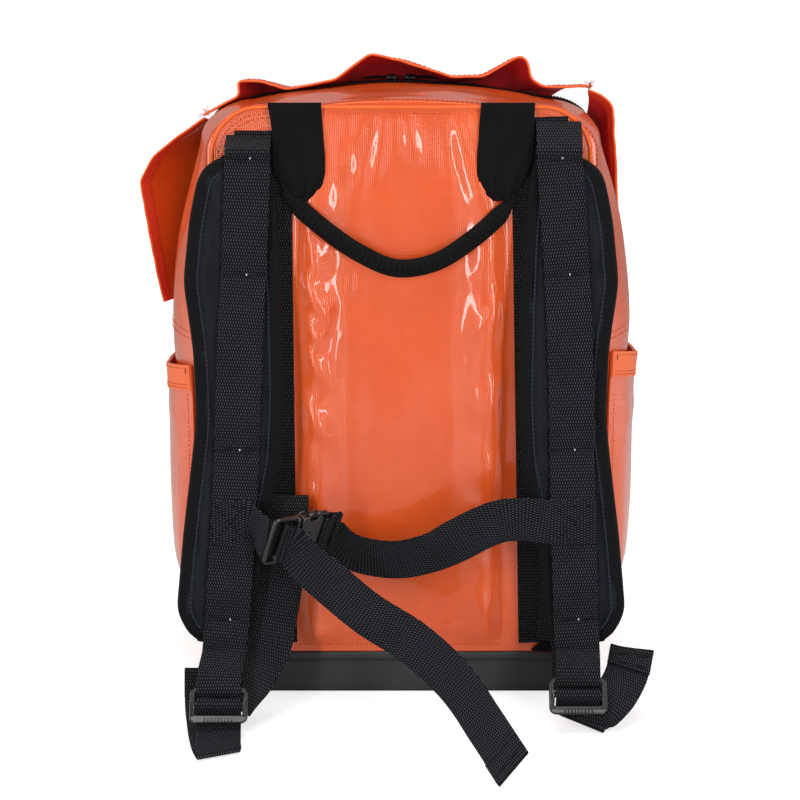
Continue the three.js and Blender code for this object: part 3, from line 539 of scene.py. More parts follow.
# ---- the bag -------------------------------------------------------------------------------------
SWELL = [(41, 174.5), (60, 192), (80, 203), (105, 210), (200, 215), (280, 216), (302, 219), (341, 221),
         (380, 218), (424, 211), (470, 199), (518, 184)]
CREST = [(-110, 551), (-80, 553), (20, 556), (60, 556), (90, 555), (105, 553), (113, 549), (120, 540)]
FLOOR = [(104.2, 4.3), (104.8, 41), (112, 45), (120, 58)]
BAG_BACK, BAG_FRONT, WIDEST_Y, BACK_HALF, FRONT_SPAN, CORNER = -109.7, 120, 20, 171, 165, 44
LID_BACK, LID_BOTTOM, LID_GAP = 97.5, 345.5, 1
PANEL_BACK = -112


def swell(z):
    """Half the bag's width at its widest depth, eased so that the side has no kinks."""
    reach = min(14.0, max(0.0, z - 41) / 2)
    return float(np.mean(table(SWELL, z + np.linspace(-reach, reach, 7))))


def half_width(y, z):
    span = WIDEST_Y - BAG_BACK if y < WIDEST_Y else FRONT_SPAN
    return BACK_HALF + (swell(z) - BACK_HALF) * (1 - ((y - WIDEST_Y) / span) ** 2)


def top_at(x, crest):
    return crest - 12 * (x / 125) ** 2


def outline(y):
    """The bag's right half at one depth, from the floor up to the middle of its crown."""
    crest, floor = table(CREST, y), table(FLOOR, y)
    shoulder = crest - CORNER
    shrink = 5 * (1 - min(1.0, min(y - BAG_BACK, BAG_FRONT - y) / 6))
    levels = list(np.arange(4.3, 62, 6.4)) + list(np.linspace(66, shoulder, 54))
    points = []
    for i, level in enumerate(levels):
        z = max(level, floor + 0.4 * i)
        points.append((half_width(y, z) - shrink, y, z))
    crown_x = points[-1][0] - CORNER
    rise = top_at(crown_x, crest) - shoulder
    for k in range(1, 11):
        angle = math.pi / 2 * k / 10
        points.append((crown_x + CORNER * math.cos(angle), y, shoulder + rise * math.sin(angle)))
    points += [(x, y, top_at(x, crest)) for x in np.linspace(crown_x, 0, 19)[1:]]
    return points


# Soft creases in the bag's walls: start (y, z), end (y, z), width, depth. They show on both sides.
WALL_CREASES = [(-96, 520, -40, 430, 7, 2.2), (-60, 505, -20, 400, 9, 1.8), (30, 520, 52, 410, 8, 2.0),
                (-98, 400, -70, 312, 8, 1.6), (70, 470, 88, 380, 6, 1.6)]


def near_line(px, pz, line):
    x0, z0, x1, z1 = line[:4]
    t = np.clip(((px - x0) * (x1 - x0) + (pz - z0) * (z1 - z0)) / ((x1 - x0) ** 2 + (z1 - z0) ** 2), 0, 1)
    fade = np.sin(math.pi * np.clip(t, 0.04, 0.96))
    return np.hypot(px - x0 - t * (x1 - x0), pz - z0 - t * (z1 - z0)), fade


def wall_relief(x, y, z):
    """How far the loose cloth of the walls stands in or out of the bag's outline."""
    free = smooth_step((z - 302) / 40) * smooth_step((110 - abs(y)) / 14)
    relief = 1.6 * ripple((x, y, z * 0.5), 52.0, 3.0)
    for line in WALL_CREASES:
        far, fade = near_line(y, z, line)
        relief -= line[5] * fade * math.exp(-((far / line[4]) ** 2))
    return relief * free


def bag_surface():
    """The whole closed outside of the bag, as a bmesh with its weave stored."""
    depths = [BAG_BACK, -109, -107.5, -105.5, -103.6, *np.arange(-100, 104, 5), 104.2, 104.8, 108, 112, 115,
              117.5, 119.2, BAG_FRONT]
    bm = bmesh.new()
    pattern = bm.verts.layers.float_vector.new("weave")
    rings = []
    for y in depths:
        right = outline(y)
        left = [(-x, yy, z) for x, yy, z in right[-2::-1]]
        ring = []
        run = 0
        whole = right + left
        middle = Vector(whole[len(right) - 1])
        for i, point in enumerate(whole):
            at = Vector(point)
            run += (at - Vector(whole[i - 1])).length if i else 0
            out = Vector((at.x, 0, max(0.0, at.z - 470))).normalized() if at.z < 545 else Vector((0, 0, 1))
            moved = at + out * wall_relief(at.x, y, at.z)
            vert = bm.verts.new(moved)
            vert[pattern] = (y, run, at.x)
            ring.append(vert)
        rings.append(ring)
    for a, b in zip(rings, rings[1:]):
        for i in range(len(a)):
            k = (i + 1) % len(a)
            bm.faces.new((a[i], a[k], b[k], b[i]))
    for ring in (rings[0], rings[-1]):
        cap_chords(bm, ring, pattern)
    bmesh.ops.remove_doubles(bm, verts=bm.verts, dist=0.02)
    bmesh.ops.recalc_face_normals(bm, faces=bm.faces)
    return bm


def front_relief(x, z):
    """The front face and lid, slightly full in the middle and easing flat towards their edges."""
    edge = min(150 - abs(x), z - 70, 520 - z)
    return 2.2 * smooth_step(edge / 46) * (1 + 0.35 * ripple((x, 0, z), 70.0, 9.0))


def cap_chords(bm, ring, pattern):
    """Fills one end of the bag with rows of points between matching left and right ring points."""
    half = len(ring) // 2
    columns = 30
    rows = []
    for k in range(half):
        right, left = ring[k], ring[len(ring) - 1 - k]
        row = [left]
        for j in range(1, columns):
            at = left.co.lerp(right.co, j / columns)
            if at.y > 0:
                at.y += front_relief(at.x, at.z)
            vert = bm.verts.new(at)
            vert[pattern] = (at.x, at.z, 0)
            row.append(vert)
        rows.append(row + [right])
    for a, b in zip(rows, rows[1:]):
        for j in range(columns):
            bm.faces.new((a[j], a[j + 1], b[j + 1], b[j]))
    bm.faces.new([*rows[-1], ring[half]][::-1])


def cut_bag(name, keep_lid, replaces, body, finish):
    """The part of the bag on one side of the lid's edge, made into cloth with a red lining."""
    bm = bag_surface()
    back = LID_BACK - (0 if keep_lid else LID_GAP)
    bottom = LID_BOTTOM - (0 if keep_lid else LID_GAP)
    for co, normal in (((0, back, 0), (0, 1, 0)), ((0, 0, bottom), (0, 0, 1))):
        geometry = [*bm.verts, *bm.edges, *bm.faces]
        bmesh.ops.bisect_plane(bm, geom=geometry, plane_co=co, plane_no=normal, dist=0.001)
    gone = []
    for face in bm.faces:
        centre = face.calc_center_median()
        if (centre.y > back and centre.z > bottom) != keep_lid:
            gone.append(face)
    bmesh.ops.delete(bm, geom=gone, context="FACES")
    bm.verts.ensure_lookup_table()
    bm.verts.index_update()
    pattern = bm.verts.layers.float_vector["weave"]
    points = [v.co[:] for v in bm.verts]
    weave = [v[pattern][:] for v in bm.verts]
    faces = [tuple(v.index for v in f.verts) for f in bm.faces]
    bm.free()
    return make_mesh(name, points, faces, finish, weave=weave, body=body, replaces=replaces, backing=INSIDE,
                     thick=2.4, offset=-1, sharp=50)


cut_bag("bag", False, ["body_shell"], "root", TARP)
cut_bag("lid", True, ["lid_panel"], "lid", TARP)

orange_root, orange_lid, dark_root = Stitching(), Stitching(), Stitching()


def ring_path(y, stand, low):
    """The bag's outline at one depth, stood off it, from the right foot over the crown to the left foot."""
    right = [p for p in outline(y) if p[2] > low]
    whole = np.array(right + [(-x, yy, z) for x, yy, z in right[-2::-1]])
    tangent = unit(np.gradient(whole, axis=0))
    out = np.cross(tangent, (0, 1, 0))
    out *= np.sign(np.sum(out * (whole - (0, y, 300)), axis=1, keepdims=True))
    relief = np.array([wall_relief(*p) for p in whole])
    return whole + out * (stand + relief[:, None]), out


# Piping along the seam where the walls meet the back, and along the lid's own front edge, in the lighter edge
# tarp whose lighter colour is a painted highlight.
def piping(name, y, stand, low, body, radius=1.7):
    path, out = ring_path(y, stand, low)
    return tube(name, path, radius, TARP_EDGE_PAINTED_HIGHLIGHT, hint=(0, -1, 0), body=body)


piping("back_piping", -106.5, -1.6, 44, "root", 2.2)
piping("lid_piping", 117.2, -0.6, 349, "lid")
for y, keeper, low in ((-100.5, orange_root, 70), (-97.0, orange_root, 300), (90.5, orange_root, 352)):
    path, out = ring_path(y, 0.1, low)
    keeper.seam(path, out)
for tag, sign in SIDES:
    for z in (331.5, 337.5):
        line = [(sign * (half_width(y, z) + wall_relief(sign * 200, y, z)), y, z)
                for y in np.arange(-98, 84, 6)]
        orange_root.seam(line, (sign, 0, 0))
for z, keeper, half in ((352.0, orange_lid, 158), (356.5, orange_lid, 158), (337.5, orange_root, 160)):
    line = [(x, BAG_FRONT + front_relief(x, z), z) for x in np.arange(-half, half + 1, 6)]
    keeper.seam(line, (0, 1, 0))


# ---- back panel ----------------------------------------------------------------------------------
PANEL_HALF, PANEL_BOTTOM, PANEL_TOP, PANEL_CORNER = 170, 41, 549, 46

# Creases pressed into the back panel: start (x, z), end (x, z), width, height (+ ridge, - dent).
PANEL_CREASES = [
    (-40, 536, -52, 470, 8, 2.4), (-22, 540, -30, 480, 7, -1.6), (-62, 530, -66, 450, 7, 1.8),
    (58, 540, 70, 455, 8, 2.4), (36, 538, 44, 480, 8, -1.4), (8, 540, 12, 490, 10, 1.2),
    (-92, 402, -68, 352, 5, 2.0), (-94, 372, -62, 318, 6, 2.4), (-62, 392, -74, 346, 5, 1.4),
    (-95, 300, -70, 236, 6, 2.0), (-93, 330, -80, 262, 5, -1.4), (-92, 232, -84, 150, 6, 1.6),
    (96, 410, 76, 320, 6, 2.2), (92, 372, 58, 340, 5, 1.6), (98, 322, 76, 262, 6, 2.2),
    (96, 262, 84, 180, 6, 1.8), (94, 150, 88, 80, 6, 1.6), (-94, 130, -88, 72, 6, 1.6),
    (-60, 66, -20, 60, 6, 1.2), (20, 62, 70, 68, 6, 1.2),
    (-87, 461, -74, 389, 4, 2.6), (-94, 410, -64, 355, 5, 3.0), (-58, 379, -77, 330, 4, 2.4),
    (-91, 341, -59, 287, 5, 2.8), (-57, 355, -61, 283, 3, 2.0), (-86, 285, -63, 240, 5, 2.6),
    (-44, 404, -47, 375, 3, 1.8), (102, 440, 96, 364, 4, 2.8), (83, 374, 100, 333, 5, 3.0),
    (79, 294, 99, 244, 5, 2.6), (100, 330, 90, 285, 4, 2.4), (92, 135, 104, 53, 4, 2.8),
    (-94, 94, -74, 45, 4, 2.4), (-49, 545, -36, 483, 6, -1.6), (-14, 546, -26, 474, 6, 2.0),
    (1, 546, 17, 492, 6, 1.8), (47, 543, 61, 465, 5, 1.8), (54, 545, 70, 496, 4, -1.4),
]


def panel_relief(x, z):
    """How far the back panel stands proud of its plane between the two webbing strips."""
    inside = smooth_step((96 - abs(x)) / 14)
    inside *= smooth_step((z - 44) / 18) * smooth_step((PANEL_TOP - 3 - z) / 14)
    top = smooth_step((505 - z) / 60)
    swell = 1 + 0.5 * ripple((x * 0.6, 0, z), 30.0, 2.0)
    full = 6.4 * swell * bump_at(abs(x), 76, 17) * (0.35 + 0.65 * top) + 1.2
    full += 1.1 * ripple((x, 0, z * 0.55), 42.0, 5.0)
    for line in PANEL_CREASES:
        far, fade = near_line(x, z, line)
        full += line[5] * fade * math.exp(-((far / line[4]) ** 2))
    return max(0.0, full) * inside


def panel_half(z):
    over = max(0.0, z - (PANEL_TOP - PANEL_CORNER))
    return PANEL_HALF - PANEL_CORNER + math.sqrt(max(0.0, PANEL_CORNER ** 2 - over ** 2))


panel_rows = [*np.arange(PANEL_BOTTOM, 500, 4.0), *(PANEL_TOP - PANEL_CORNER * (1 - math.sin(a))
              for a in np.linspace(0, math.pi / 2, 16))]
grid = []
for z in panel_rows:
    half = panel_half(z)
    grid.append([(x, PANEL_BACK + 1 - panel_relief(x, z), z) for x in np.linspace(-half, half, 97)])
cloth_grid("back_panel_cloth", grid, TARP, thick=2.0, replaces=["back_panel"], sharp=60)

border = [(PANEL_HALF - 2.5, z) for z in np.arange(43, 500, 5)]
border += [(PANEL_HALF - PANEL_CORNER + (PANEL_CORNER - 2.5) * math.cos(a),
            PANEL_TOP - PANEL_CORNER + (PANEL_CORNER - 2.5) * math.sin(a))
           for a in np.linspace(0, math.pi / 2, 12)]
border += [(x, PANEL_TOP - 2.5) for x in np.linspace(PANEL_HALF - PANEL_CORNER - 6, 0, 14)]
border += [(-x, z) for x, z in border[-2::-1]]
# The panel's piping, in the lighter edge tarp: a painted highlight on its round edge.
tube("panel_piping", [(x, PANEL_BACK - 0.1, z) for x, z in border], 1.9, TARP_EDGE_PAINTED_HIGHLIGHT, squash=0.8, body="root")
for inset in (5.5, 9.0):
    line = [((abs(x) - inset) * np.sign(x) if z < 520 else x * (1 - inset / 170), PANEL_BACK - 0.1,
             z if z < 500 else z - inset * (z - 500) / 46) for x, z in border]
    orange_root.seam(line, (0, -1, 0))
FOOT_SEAM = 47.5
foot_line = [(x, PANEL_BACK - panel_relief(x, FOOT_SEAM), FOOT_SEAM) for x in np.arange(-96, 97, 4)]
orange_root.seam(foot_line, (0, -1, 0))

STRIP_HEAD = {"left": (122, 526), "right": (122, 538)}
STRIP_FOOT = {"left": (122, 50), "right": (135, 50)}

for tag, sign in SIDES:
    head, foot = np.array(STRIP_HEAD[tag], float), np.array(STRIP_FOOT[tag], float)

    def on_strip(t, across, stand):
        x, z = foot + (head - foot) * t
        return (sign * x + across, PANEL_BACK - stand, z)

    stops = [(*on_strip(t, 0, 1.1), 1, 0, 0) for t in (0, 0.35, 0.7, 1)]
    strap(f"back_strip_{tag}_webbing", stops, STRIP_WIDTH, WEBBING, thick=1.6, step=5, wobble=0.2,
          replaces=[f"back_strip_{tag}"])
    for edge in (-22.5, 22.5):
        dark_root.seam([on_strip(t, edge, 1.9) for t in np.linspace(0.01, 0.99, 25)], (0, -1, 0), radius=0.32)
    for t in (0.016, 0.984):
        dark_root.tack(on_strip(t, 0, 1.9), (1, 0, 0), (0, -1, 0), 42)


# ---- base tub ------------------------------------------------------------------------------------
def tub_ring(inset, z):
    flat = rounded_loop(-178 + inset, 178 - inset, -113 + inset, 112 - inset, max(1.0, 9 - inset), 6)
    points = []
    for i, (x, y) in enumerate(flat):
        nx, ny = flat[(i + 1) % len(flat)]
        count = max(1, int(math.hypot(nx - x, ny - y) / 8))
        points += [(x + (nx - x) * k / count, y + (ny - y) * k / count, z) for k in range(count)]
    return points


# (inset, height) up the tub's outside, over its rim and down the inside.
TUB_PROFILE = [(6, 0), (3.4, 0.1), (1.9, 0.8), (1.2, 2.2), (1.0, 4), (1.0, 12), (1.0, 20), (1.0, 26),
               (1.0, 29.6), (1.7, 30.4), (1.7, 31.2), (1.1, 32.0), (0.6, 32.6), (0.1, 33.4), (0.0, 34.6),
               (0.0, 37.6), (0.4, 39.0), (1.1, 39.8), (1.8, 39.9), (2.6, 39.6), (3.0, 38.6), (3.0, 20),
               (3.0, 4.4), (4.5, 4.0)]
count = len(tub_ring(1.0, 0))
rings = []
for inset, z in TUB_PROFILE:
    ring = np.array(tub_ring(inset, z))
    if len(ring) != count:
        steps = np.linspace(0, len(ring), count, endpoint=False)
        ring = at_length(np.vstack([ring, ring[:1]]), np.arange(len(ring) + 1), steps)
    rings.append(ring)
weave = np.concatenate([np.stack([r[:, 0] + r[:, 1], r[:, 2], r[:, 1] - r[:, 0]], 1) for r in rings])
make_mesh("tub", np.concatenate(rings), loft_faces(len(rings), count), TUB, weave=weave,
          replaces=["base_tub"], sharp=35)


# ---- inside the bag ------------------------------------------------------------------------------
def upright_pad(name, half, low, high, y0, y1, finish, replaces, channels=()):
    """A flat padded layer standing across the bag, with rounded edges and sewn channels."""
    middle, thick = (y0 + y1) / 2, y1 - y0
    xs = np.linspace(-half, half, 49)
    rows = []
    for z in np.arange(low, high + 0.1, (high - low) / 60):
        edge_z = min(1.0, min(z - low, high - z) / 8)
        row = []
        for x in xs:
            edge = min(edge_z, min(1.0, (half - abs(x)) / 8))
            fat = math.sqrt(max(0.03, 1 - (1 - edge) ** 2))
            for channel in channels:
                fat *= 1 - 0.4 * math.exp(-(((z - channel) / 3.0) ** 2))
            row.append(fat * thick / 2)
        rows.append((z, row))
    surfaces = [[[(x, middle + side * fat, z) for x, fat in zip(xs, row)] for z, row in rows]
                for side in (1, -1)]
    points = np.array(surfaces).reshape(-1, 3)
    obj = make_mesh(name, points, pillow_faces(len(rows), len(xs)), finish, replaces=replaces, sharp=70)
    return obj


upright_pad("foam_pad", 156, 14, 524, -104.2, -96.2, FOAM, ["back_foam"],
            channels=(120, 220, 320, 420))
upright_pad("sleeve", 140, 60, 400, -95.8, -91.8, LINER, ["inner_sleeve"], channels=(385,))
for node in ("frame_sheet", "base_board"):
    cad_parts[node].data.materials.clear()
    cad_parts[node].data.materials.append(BOARD.material)


def divider():
    rings = []
    for t in np.linspace(-1, 1, 61):
        x = 178 * t
        thin = math.sqrt(max(0.05, 1 - max(0.0, (abs(x) - 172) / 6) ** 2))
        ring = []
        for k in range(40):
            a = TAU * k / 40
            y = 4 + 88 * np.sign(math.cos(a)) * abs(math.cos(a)) ** 0.16
            dip = 1 - 0.35 * bump_at(abs(x), 60, 4) * smooth_step((80 - abs(y - 4)) / 10)
            z = 254 + 4 * thin * dip * np.sign(math.sin(a)) * abs(math.sin(a)) ** 0.4
            ring.append((x, y, z))
        rings.append(ring)
    points = np.array(rings).reshape(-1, 3)
    obj = make_mesh("divider_pad", points, loft_faces(61, 40), LINER, weave=points,
                    replaces=["divider_shelf"], sharp=70)
    return obj


divider()


# ---- side pockets --------------------------------------------------------------------------------
STANDOFF = [(56, 0.5), (63, 6), (80, 10), (105, 11.5), (200, 9.5), (270, 8), (292, 7), (320, 7)]
POCKET_LOW, POCKET_BACK, POCKET_FRONT = 56, -78, 92
POCKET_RIM = {-1: ((POCKET_BACK, 307), (WIDEST_Y, 291)), 1: ((POCKET_BACK, 320), (WIDEST_Y, 301))}


def pocket_at(sign, y, z, proud=0.0):
    edge = max(0.0, min(1.0, min(y - POCKET_BACK, POCKET_FRONT - y) / 22))
    stand = max(1.3, table(STANDOFF, z) * math.sqrt(edge))
    slack = 1.5 * ripple((sign * 40, y, z * 0.6), 45.0, 7.0) * smooth_step(edge) * smooth_step((z - 60) / 30)
    slack += 1.2 * bump_at(z, 250, 10) * smooth_step(edge) * math.sin(y / 9.0)
    return (sign * (half_width(y, z) + stand + 1.1 + proud + max(-1.0, slack)), y, z)


def pocket_drop(sign, y, drop, proud=0.0):
    """A point of the pocket, measured down from its rim."""
    return pocket_at(sign, y, table(POCKET_RIM[sign], y) - drop, proud)


for tag, sign in SIDES:
    levels = [0, 0.006, 0.014, 0.025, 0.037, 0.054, *np.linspace(0.075, 1, 38)]
    depths = [*np.linspace(POCKET_BACK, POCKET_BACK + 14, 6), *np.arange(-60, 76, 6),
              *np.linspace(78, POCKET_FRONT, 6)]
    grid = [[pocket_drop(sign, y, (1 - level) * (table(POCKET_RIM[sign], y) - POCKET_LOW)) for y in depths]
            for level in levels]
    cloth_grid(f"side_pocket_{tag}_cloth", grid, TARP, flip=sign < 0, thick=1.9, backing=INSIDE,
               replaces=[f"side_pocket_{tag}"], sharp=60)
    # The pocket hem is drawn in the lighter edge tarp: a painted highlight on the folded top.
    hem = [[pocket_drop(sign, y, drop, 1.5) for y in depths] for drop in (24, 20, 16, 12, 8, 4, -0.2)]
    cloth_grid(f"side_pocket_{tag}_hem", hem, TARP_EDGE_PAINTED_HIGHLIGHT, flip=sign < 0, thick=1.0, sharp=60)
    for drop in (21.5, 18.5, 3):
        orange_root.seam([pocket_drop(sign, y, drop, 2.1) for y in depths[1:-1]], (sign, 0, 0))
    for y in (POCKET_BACK + 4, POCKET_FRONT - 4):
        orange_root.seam([pocket_at(sign, y, z, 1.1) for z in np.arange(62, 286, 6)], (sign, 0, 0))
        dark_root.tack(pocket_drop(sign, y, 5, 2.2), (0, 1, 0), (sign, 0, 0), 7)
    rim = [(sign * (half_width(y, POCKET_LOW) + 2.6), y, POCKET_LOW + 1) for y in depths]
    tube(f"side_pocket_{tag}_piping", rim, 1.6, TARP_EDGE_PAINTED_HIGHLIGHT, hint=(0, 0, 1))

# ---- front pocket --------------------------------------------------------------------------------
def front_pocket_at(x, z, proud=0.0):
    edge = max(0.0, min(1.0, min(138 - abs(x), z - 74) / 12))
    slack = 2.2 * ripple((x, 0, z * 0.7), 60.0, 11.0) * smooth_step(edge)
    return (x, 121.7 + 15 * math.sqrt(edge) + slack + proud, z)


across = [*np.linspace(-138, -124, 7), *np.arange(-118, 119, 7), *np.linspace(124, 138, 7)]
heights = [74, 75, 77, 80, 84, *np.arange(88, 300, 7), 300]
grid = [[front_pocket_at(x, z) for x in across] for z in heights]
cloth_grid("front_pocket_cloth", grid, TARP, flip=True, thick=1.9, backing=INSIDE,
           replaces=["front_pocket"], sharp=60)
# The front pocket hem, in the lighter edge tarp: a painted highlight on the folded top.
hem = [[front_pocket_at(x, z, 1.5) for x in across] for z in np.arange(274, 301, 4.3)]
cloth_grid("front_pocket_hem", hem, TARP_EDGE_PAINTED_HIGHLIGHT, flip=True, thick=1.0, sharp=60)
for z in (277, 280, 297):
    orange_root.seam([front_pocket_at(x, z, 2.1) for x in across], (0, 1, 0))
for x in (-134, 134):
    orange_root.seam([front_pocket_at(x, z, 1.0) for z in heights[2:]], (0, 1, 0))


# ---- lid: zip and storm skirt --------------------------------------------------------------------
def zip_band(name, y_from, y_to, body, replaces):
    grid = []
    for y in np.linspace(y_from, y_to, 4):
        path, _ = ring_path(y, 1.3, LID_BOTTOM + 6)
        run = lengths(path)
        grid.append(at_length(path, run, np.linspace(0, run[-1], 200)))
    rows = np.array(grid).transpose(1, 0, 2)
    return cloth_grid(name, rows, ZIP_TAPE, thick=1.2, body=body, replaces=replaces)


zip_band("zip_tape_on_bag", LID_BACK - LID_GAP - 12, LID_BACK - LID_GAP - 0.2, "root", ["zip_tape_body"])
zip_band("zip_tape_on_lid", LID_BACK + 0.2, 104.4, "lid", ["zip_tape_lid"])


def zip_teeth(name, y, toward, body, skip):
    """Moulded teeth along the tape's edge, each a small block with a rounded head."""
    path, out = ring_path(y, 2.0, LID_BOTTOM + 8)
    run = lengths(path)
    points, faces = [], []
    for s in np.arange(2, run[-1] - 2, 3.2) + skip:
        at = at_length(path, run, s)
        normal = unit(at_length(out, run, s))
        along = unit(at_length(path, run, s + 1) - at)
        start = len(points)
        for reach, half, tall in ((-2.6, 0.6, 0.5), (-1.8, 0.75, 1.0), (0.0, 0.75, 1.2), (0.55, 1.0, 1.1),
                                  (0.9, 0.7, 0.6)):
            base = at + np.array((0, toward * reach, 0))
            for u, w in ((-half, -0.2), (half, -0.2), (half * 0.8, tall), (-half * 0.8, tall)):
                points.append(base + along * u + normal * w)
        faces += loft_faces(5, 4, start)
    return make_mesh(name, points, faces, GLOSS, weave=np.array(points), body=body, sharp=40)


zip_teeth("zip_teeth_on_bag", LID_BACK - LID_GAP - 1.2, 1, "root", 0.0)
zip_teeth("zip_teeth_on_lid", LID_BACK + 1.2, -1, "lid", 1.6)

WING_EDGE = {
    "left": [(190, 56, 523), (218, 51, 504), (240, 50, 486), (253, 50, 462), (249, 50, 436), (245, 51, 408),
             (239, 54, 372), (234, 60, 342)],
    "right": [(181, 60, 550), (193, 60, 546), (205, 60, 535), (209, 60, 482), (212, 62, 428), (216, 66, 394),
              (220, 70, 370), (222, 74, 350)],
}
TOP_EDGE = [(-190, 525), (-172, 536), (-155, 544), (-157, 558), (-138, 558), (-112, 550), (-63, 559),
            (-38, 578), (-29, 584), (-1, 578), (10, 575), (48, 562), (81, 563), (109, 580), (116, 583),
            (122, 577), (124, 561), (138, 553), (180, 553)]
ROOT_Y = 112


def resample(points, step, soften=2):
    """Points step mm apart along straight stretches, with the corners slightly softened."""
    points = np.array(points, float)
    run = lengths(points)
    count = int(run[-1] / step)
    out = at_length(points, run, np.linspace(0, run[-1], count + 1))
    for _ in range(soften):
        out[1:-1] = (out[:-2] + 2 * out[1:-1] + out[2:]) / 4
    return out


def through_three(root, knee, free, t):
    """A curve from root through knee to free."""
    return root * (1 - t) ** 2 + knee * 2 * t * (1 - t) + free * t * t


def skirt(name, stops, replaces, hem_sign):
    """Cloth between its sewn root, a knee and its free edge; rows of stops hold the three points."""
    rows = resample([[*root, *knee, *free] for root, knee, free in stops], 5.0)
    steps = np.linspace(0, 1, 15)
    grid = []
    for row in rows:
        root, knee, free = row[:3], row[3:6], row[6:]
        line = []
        for t in steps:
            at = through_three(root, knee, free, t)
            flutter = 1.2 * t * ripple(at, 34.0, 2.0) + 0.7 * t * ripple(at, 13.0, 6.0)
            line.append(at + np.array((flutter * 0.7, 0, flutter)))
        grid.append(line)
    grid = np.array(grid)
    cloth = cloth_grid(name, grid, TARP, thick=1.4, backing=INSIDE, body="lid", replaces=replaces, sharp=60)
    down = unit(grid[:, -3] - grid[:, -1])
    normal = unit(np.cross(np.gradient(grid[:, -1], axis=0), down))
    face = normal * hem_sign
    free = grid[:, -1]
    hem_rows = [free + face * out + down * drop for out, drop in ((1.0, -0.6), (1.35, 5), (1.25, 11.5))]
    hem = cloth_grid(name + "_hem", np.array(hem_rows).transpose(1, 0, 2), HEM_INSIDE, thick=0.8, body="lid")
    # The hem's fold, in the lighter edge tarp: a painted highlight on the folded edge.
    fold = tube(name + "_fold", free - down * 0.4 + face * 0.3, 1.15, TARP_EDGE_PAINTED_HIGHLIGHT, body="lid", sides=6)
    red_lid.seam(free + face * 1.7 + down * 8.5, face, pitch=5.0, length=3.4, radius=0.4)
    area = 0.0
    for quad in grid_faces(*grid.shape[:2]):
        a, b, c, d = (grid.reshape(-1, 3)[i] for i in quad)
        area += (np.linalg.norm(np.cross(b - a, c - a)) + np.linalg.norm(np.cross(c - a, d - a))) / 2
    length = lengths(grid[:, -1])[-1]
    width = max(lengths(row)[-1] for row in grid)
    max(length, lengths(grid[:, 0])[-1]) * MM


HEM_INSIDE = coated_cloth("skirt_hem", "tarp_inside", (0.50, 0.030, 0.012), (0.76, 0.060, 0.020), 0.45, 0.04,
                          Specular_IOR_Level=0.4)
red_lid = Stitching()
for tag, sign in SIDES:
    stops = []
    for i, (x, y, z) in enumerate(WING_EDGE[tag]):
        root_z = min(z, 516 - i * 1.5)
        root = np.array((sign * (half_width(ROOT_Y, root_z) + 2.2), ROOT_Y, root_z))
        free = np.array((sign * x, y, z), float)
        stops.append((root, root * 0.55 + free * 0.45 + (sign * 3, 0, 0), free))
    skirt(f"skirt_{tag}", stops, [f"lid_skirt_{tag}"], -sign)
stops = []
for x, z in TOP_EDGE:
    root_x = x * 0.8
    root_z = top_at(root_x, table(CREST, ROOT_Y)) + 2.4
    lifted = smooth_step((z - root_z - 8) / 14)
    knee_z = root_z + 3 + 22 * lifted
    stops.append((np.array((root_x, ROOT_Y, root_z)), np.array(((root_x + x) / 2, 101, knee_z)),
                  np.array((x, 55.0, z))))
skirt("skirt_top", stops, ["lid_skirt_top"], 1)


def frayed(name, corner, spread, count, body):
    """Loose thread ends where the coated cloth was cut."""
    points, faces, weave = [], [], []
    for k in range(count):
        lean = np.array([ripple((k * 7.3, 1.7, 0), 5.0, s) for s in (1, 4, 8)])
        reach = 5 + 5 * abs(ripple((k * 3.1, 0, 2), 4.0, 2))
        base = np.array(corner) + np.array([ripple((k * 5.1, 3, 0), 4.0, s) for s in (2, 5, 7)]) * 4
        line = [base + unit(np.array(spread) + lean * 1.6) * reach * t + lean * 5 * t * t for t in
                np.linspace(0, 1, 7)]
        _, side, other = path_frame(line, (0, -1, 0.2))
        start = len(points)
        for i, at in enumerate(line):
            for j in range(5):
                a = TAU * j / 5
                points.append(at + 0.26 * (side[i] * math.cos(a) + other[i] * math.sin(a)))
                weave.append((j, i, k))
        faces += [tuple(start + i for i in f) for f in grid_faces(7, 5, wrap=True)]
    return make_mesh(name, points, faces, ORANGE_THREAD, weave=weave, body=body)


frayed("frayed_threads_right", (181, 56, 552), (0.5, 0, 0.9), 16, "lid")
frayed("frayed_threads_left", (-186, 57, 527), (-0.7, 0, 0.7), 10, "lid")
frayed("frayed_threads_low", (223, 74, 350), (0.6, 0, -0.8), 9, "lid")

SLIDER_Y = 95.5
SLIDER_Z = table(CREST, SLIDER_Y) + 3.4
for tag, sign in SIDES:
    x = sign * 9
    crown = [rounded_loop(-6, 6, -4.4, 4.4, 2.6)]
    place = Matrix.Translation((x, SLIDER_Y, SLIDER_Z + 1.6))
    plate(f"zip_slider_{tag}_body", crown, 3.0, 0.8, place, GLOSS, f"zip_slider_{tag}", [f"zip_slider_{tag}"])
    bridge = [(x + sign * t, SLIDER_Y, SLIDER_Z + 2.8 + 1.6 * math.sin(math.pi * (t + 5) / 10))
              for t in np.linspace(-5, 5, 11)]
    tube(f"zip_slider_{tag}_bridge", bridge, 0.9, GLOSS, hint=(0, 1, 0), body=f"zip_slider_{tag}")
    start = x + sign * 6.5
    cord = [(start + sign * t, SLIDER_Y + 0.8 * math.sin(t / 5), SLIDER_Z + 1.8 + 0.5 * math.sin(t / 4),
             0, 1, 0) for t in (0, 5, 10, 15, 20)]
    strap(f"zip_pull_{tag}_tab", cord, 8, SATIN, thick=2.2, wobble=0.15, body=f"zip_pull_{tag}",
          replaces=[f"zip_pull_{tag}"])

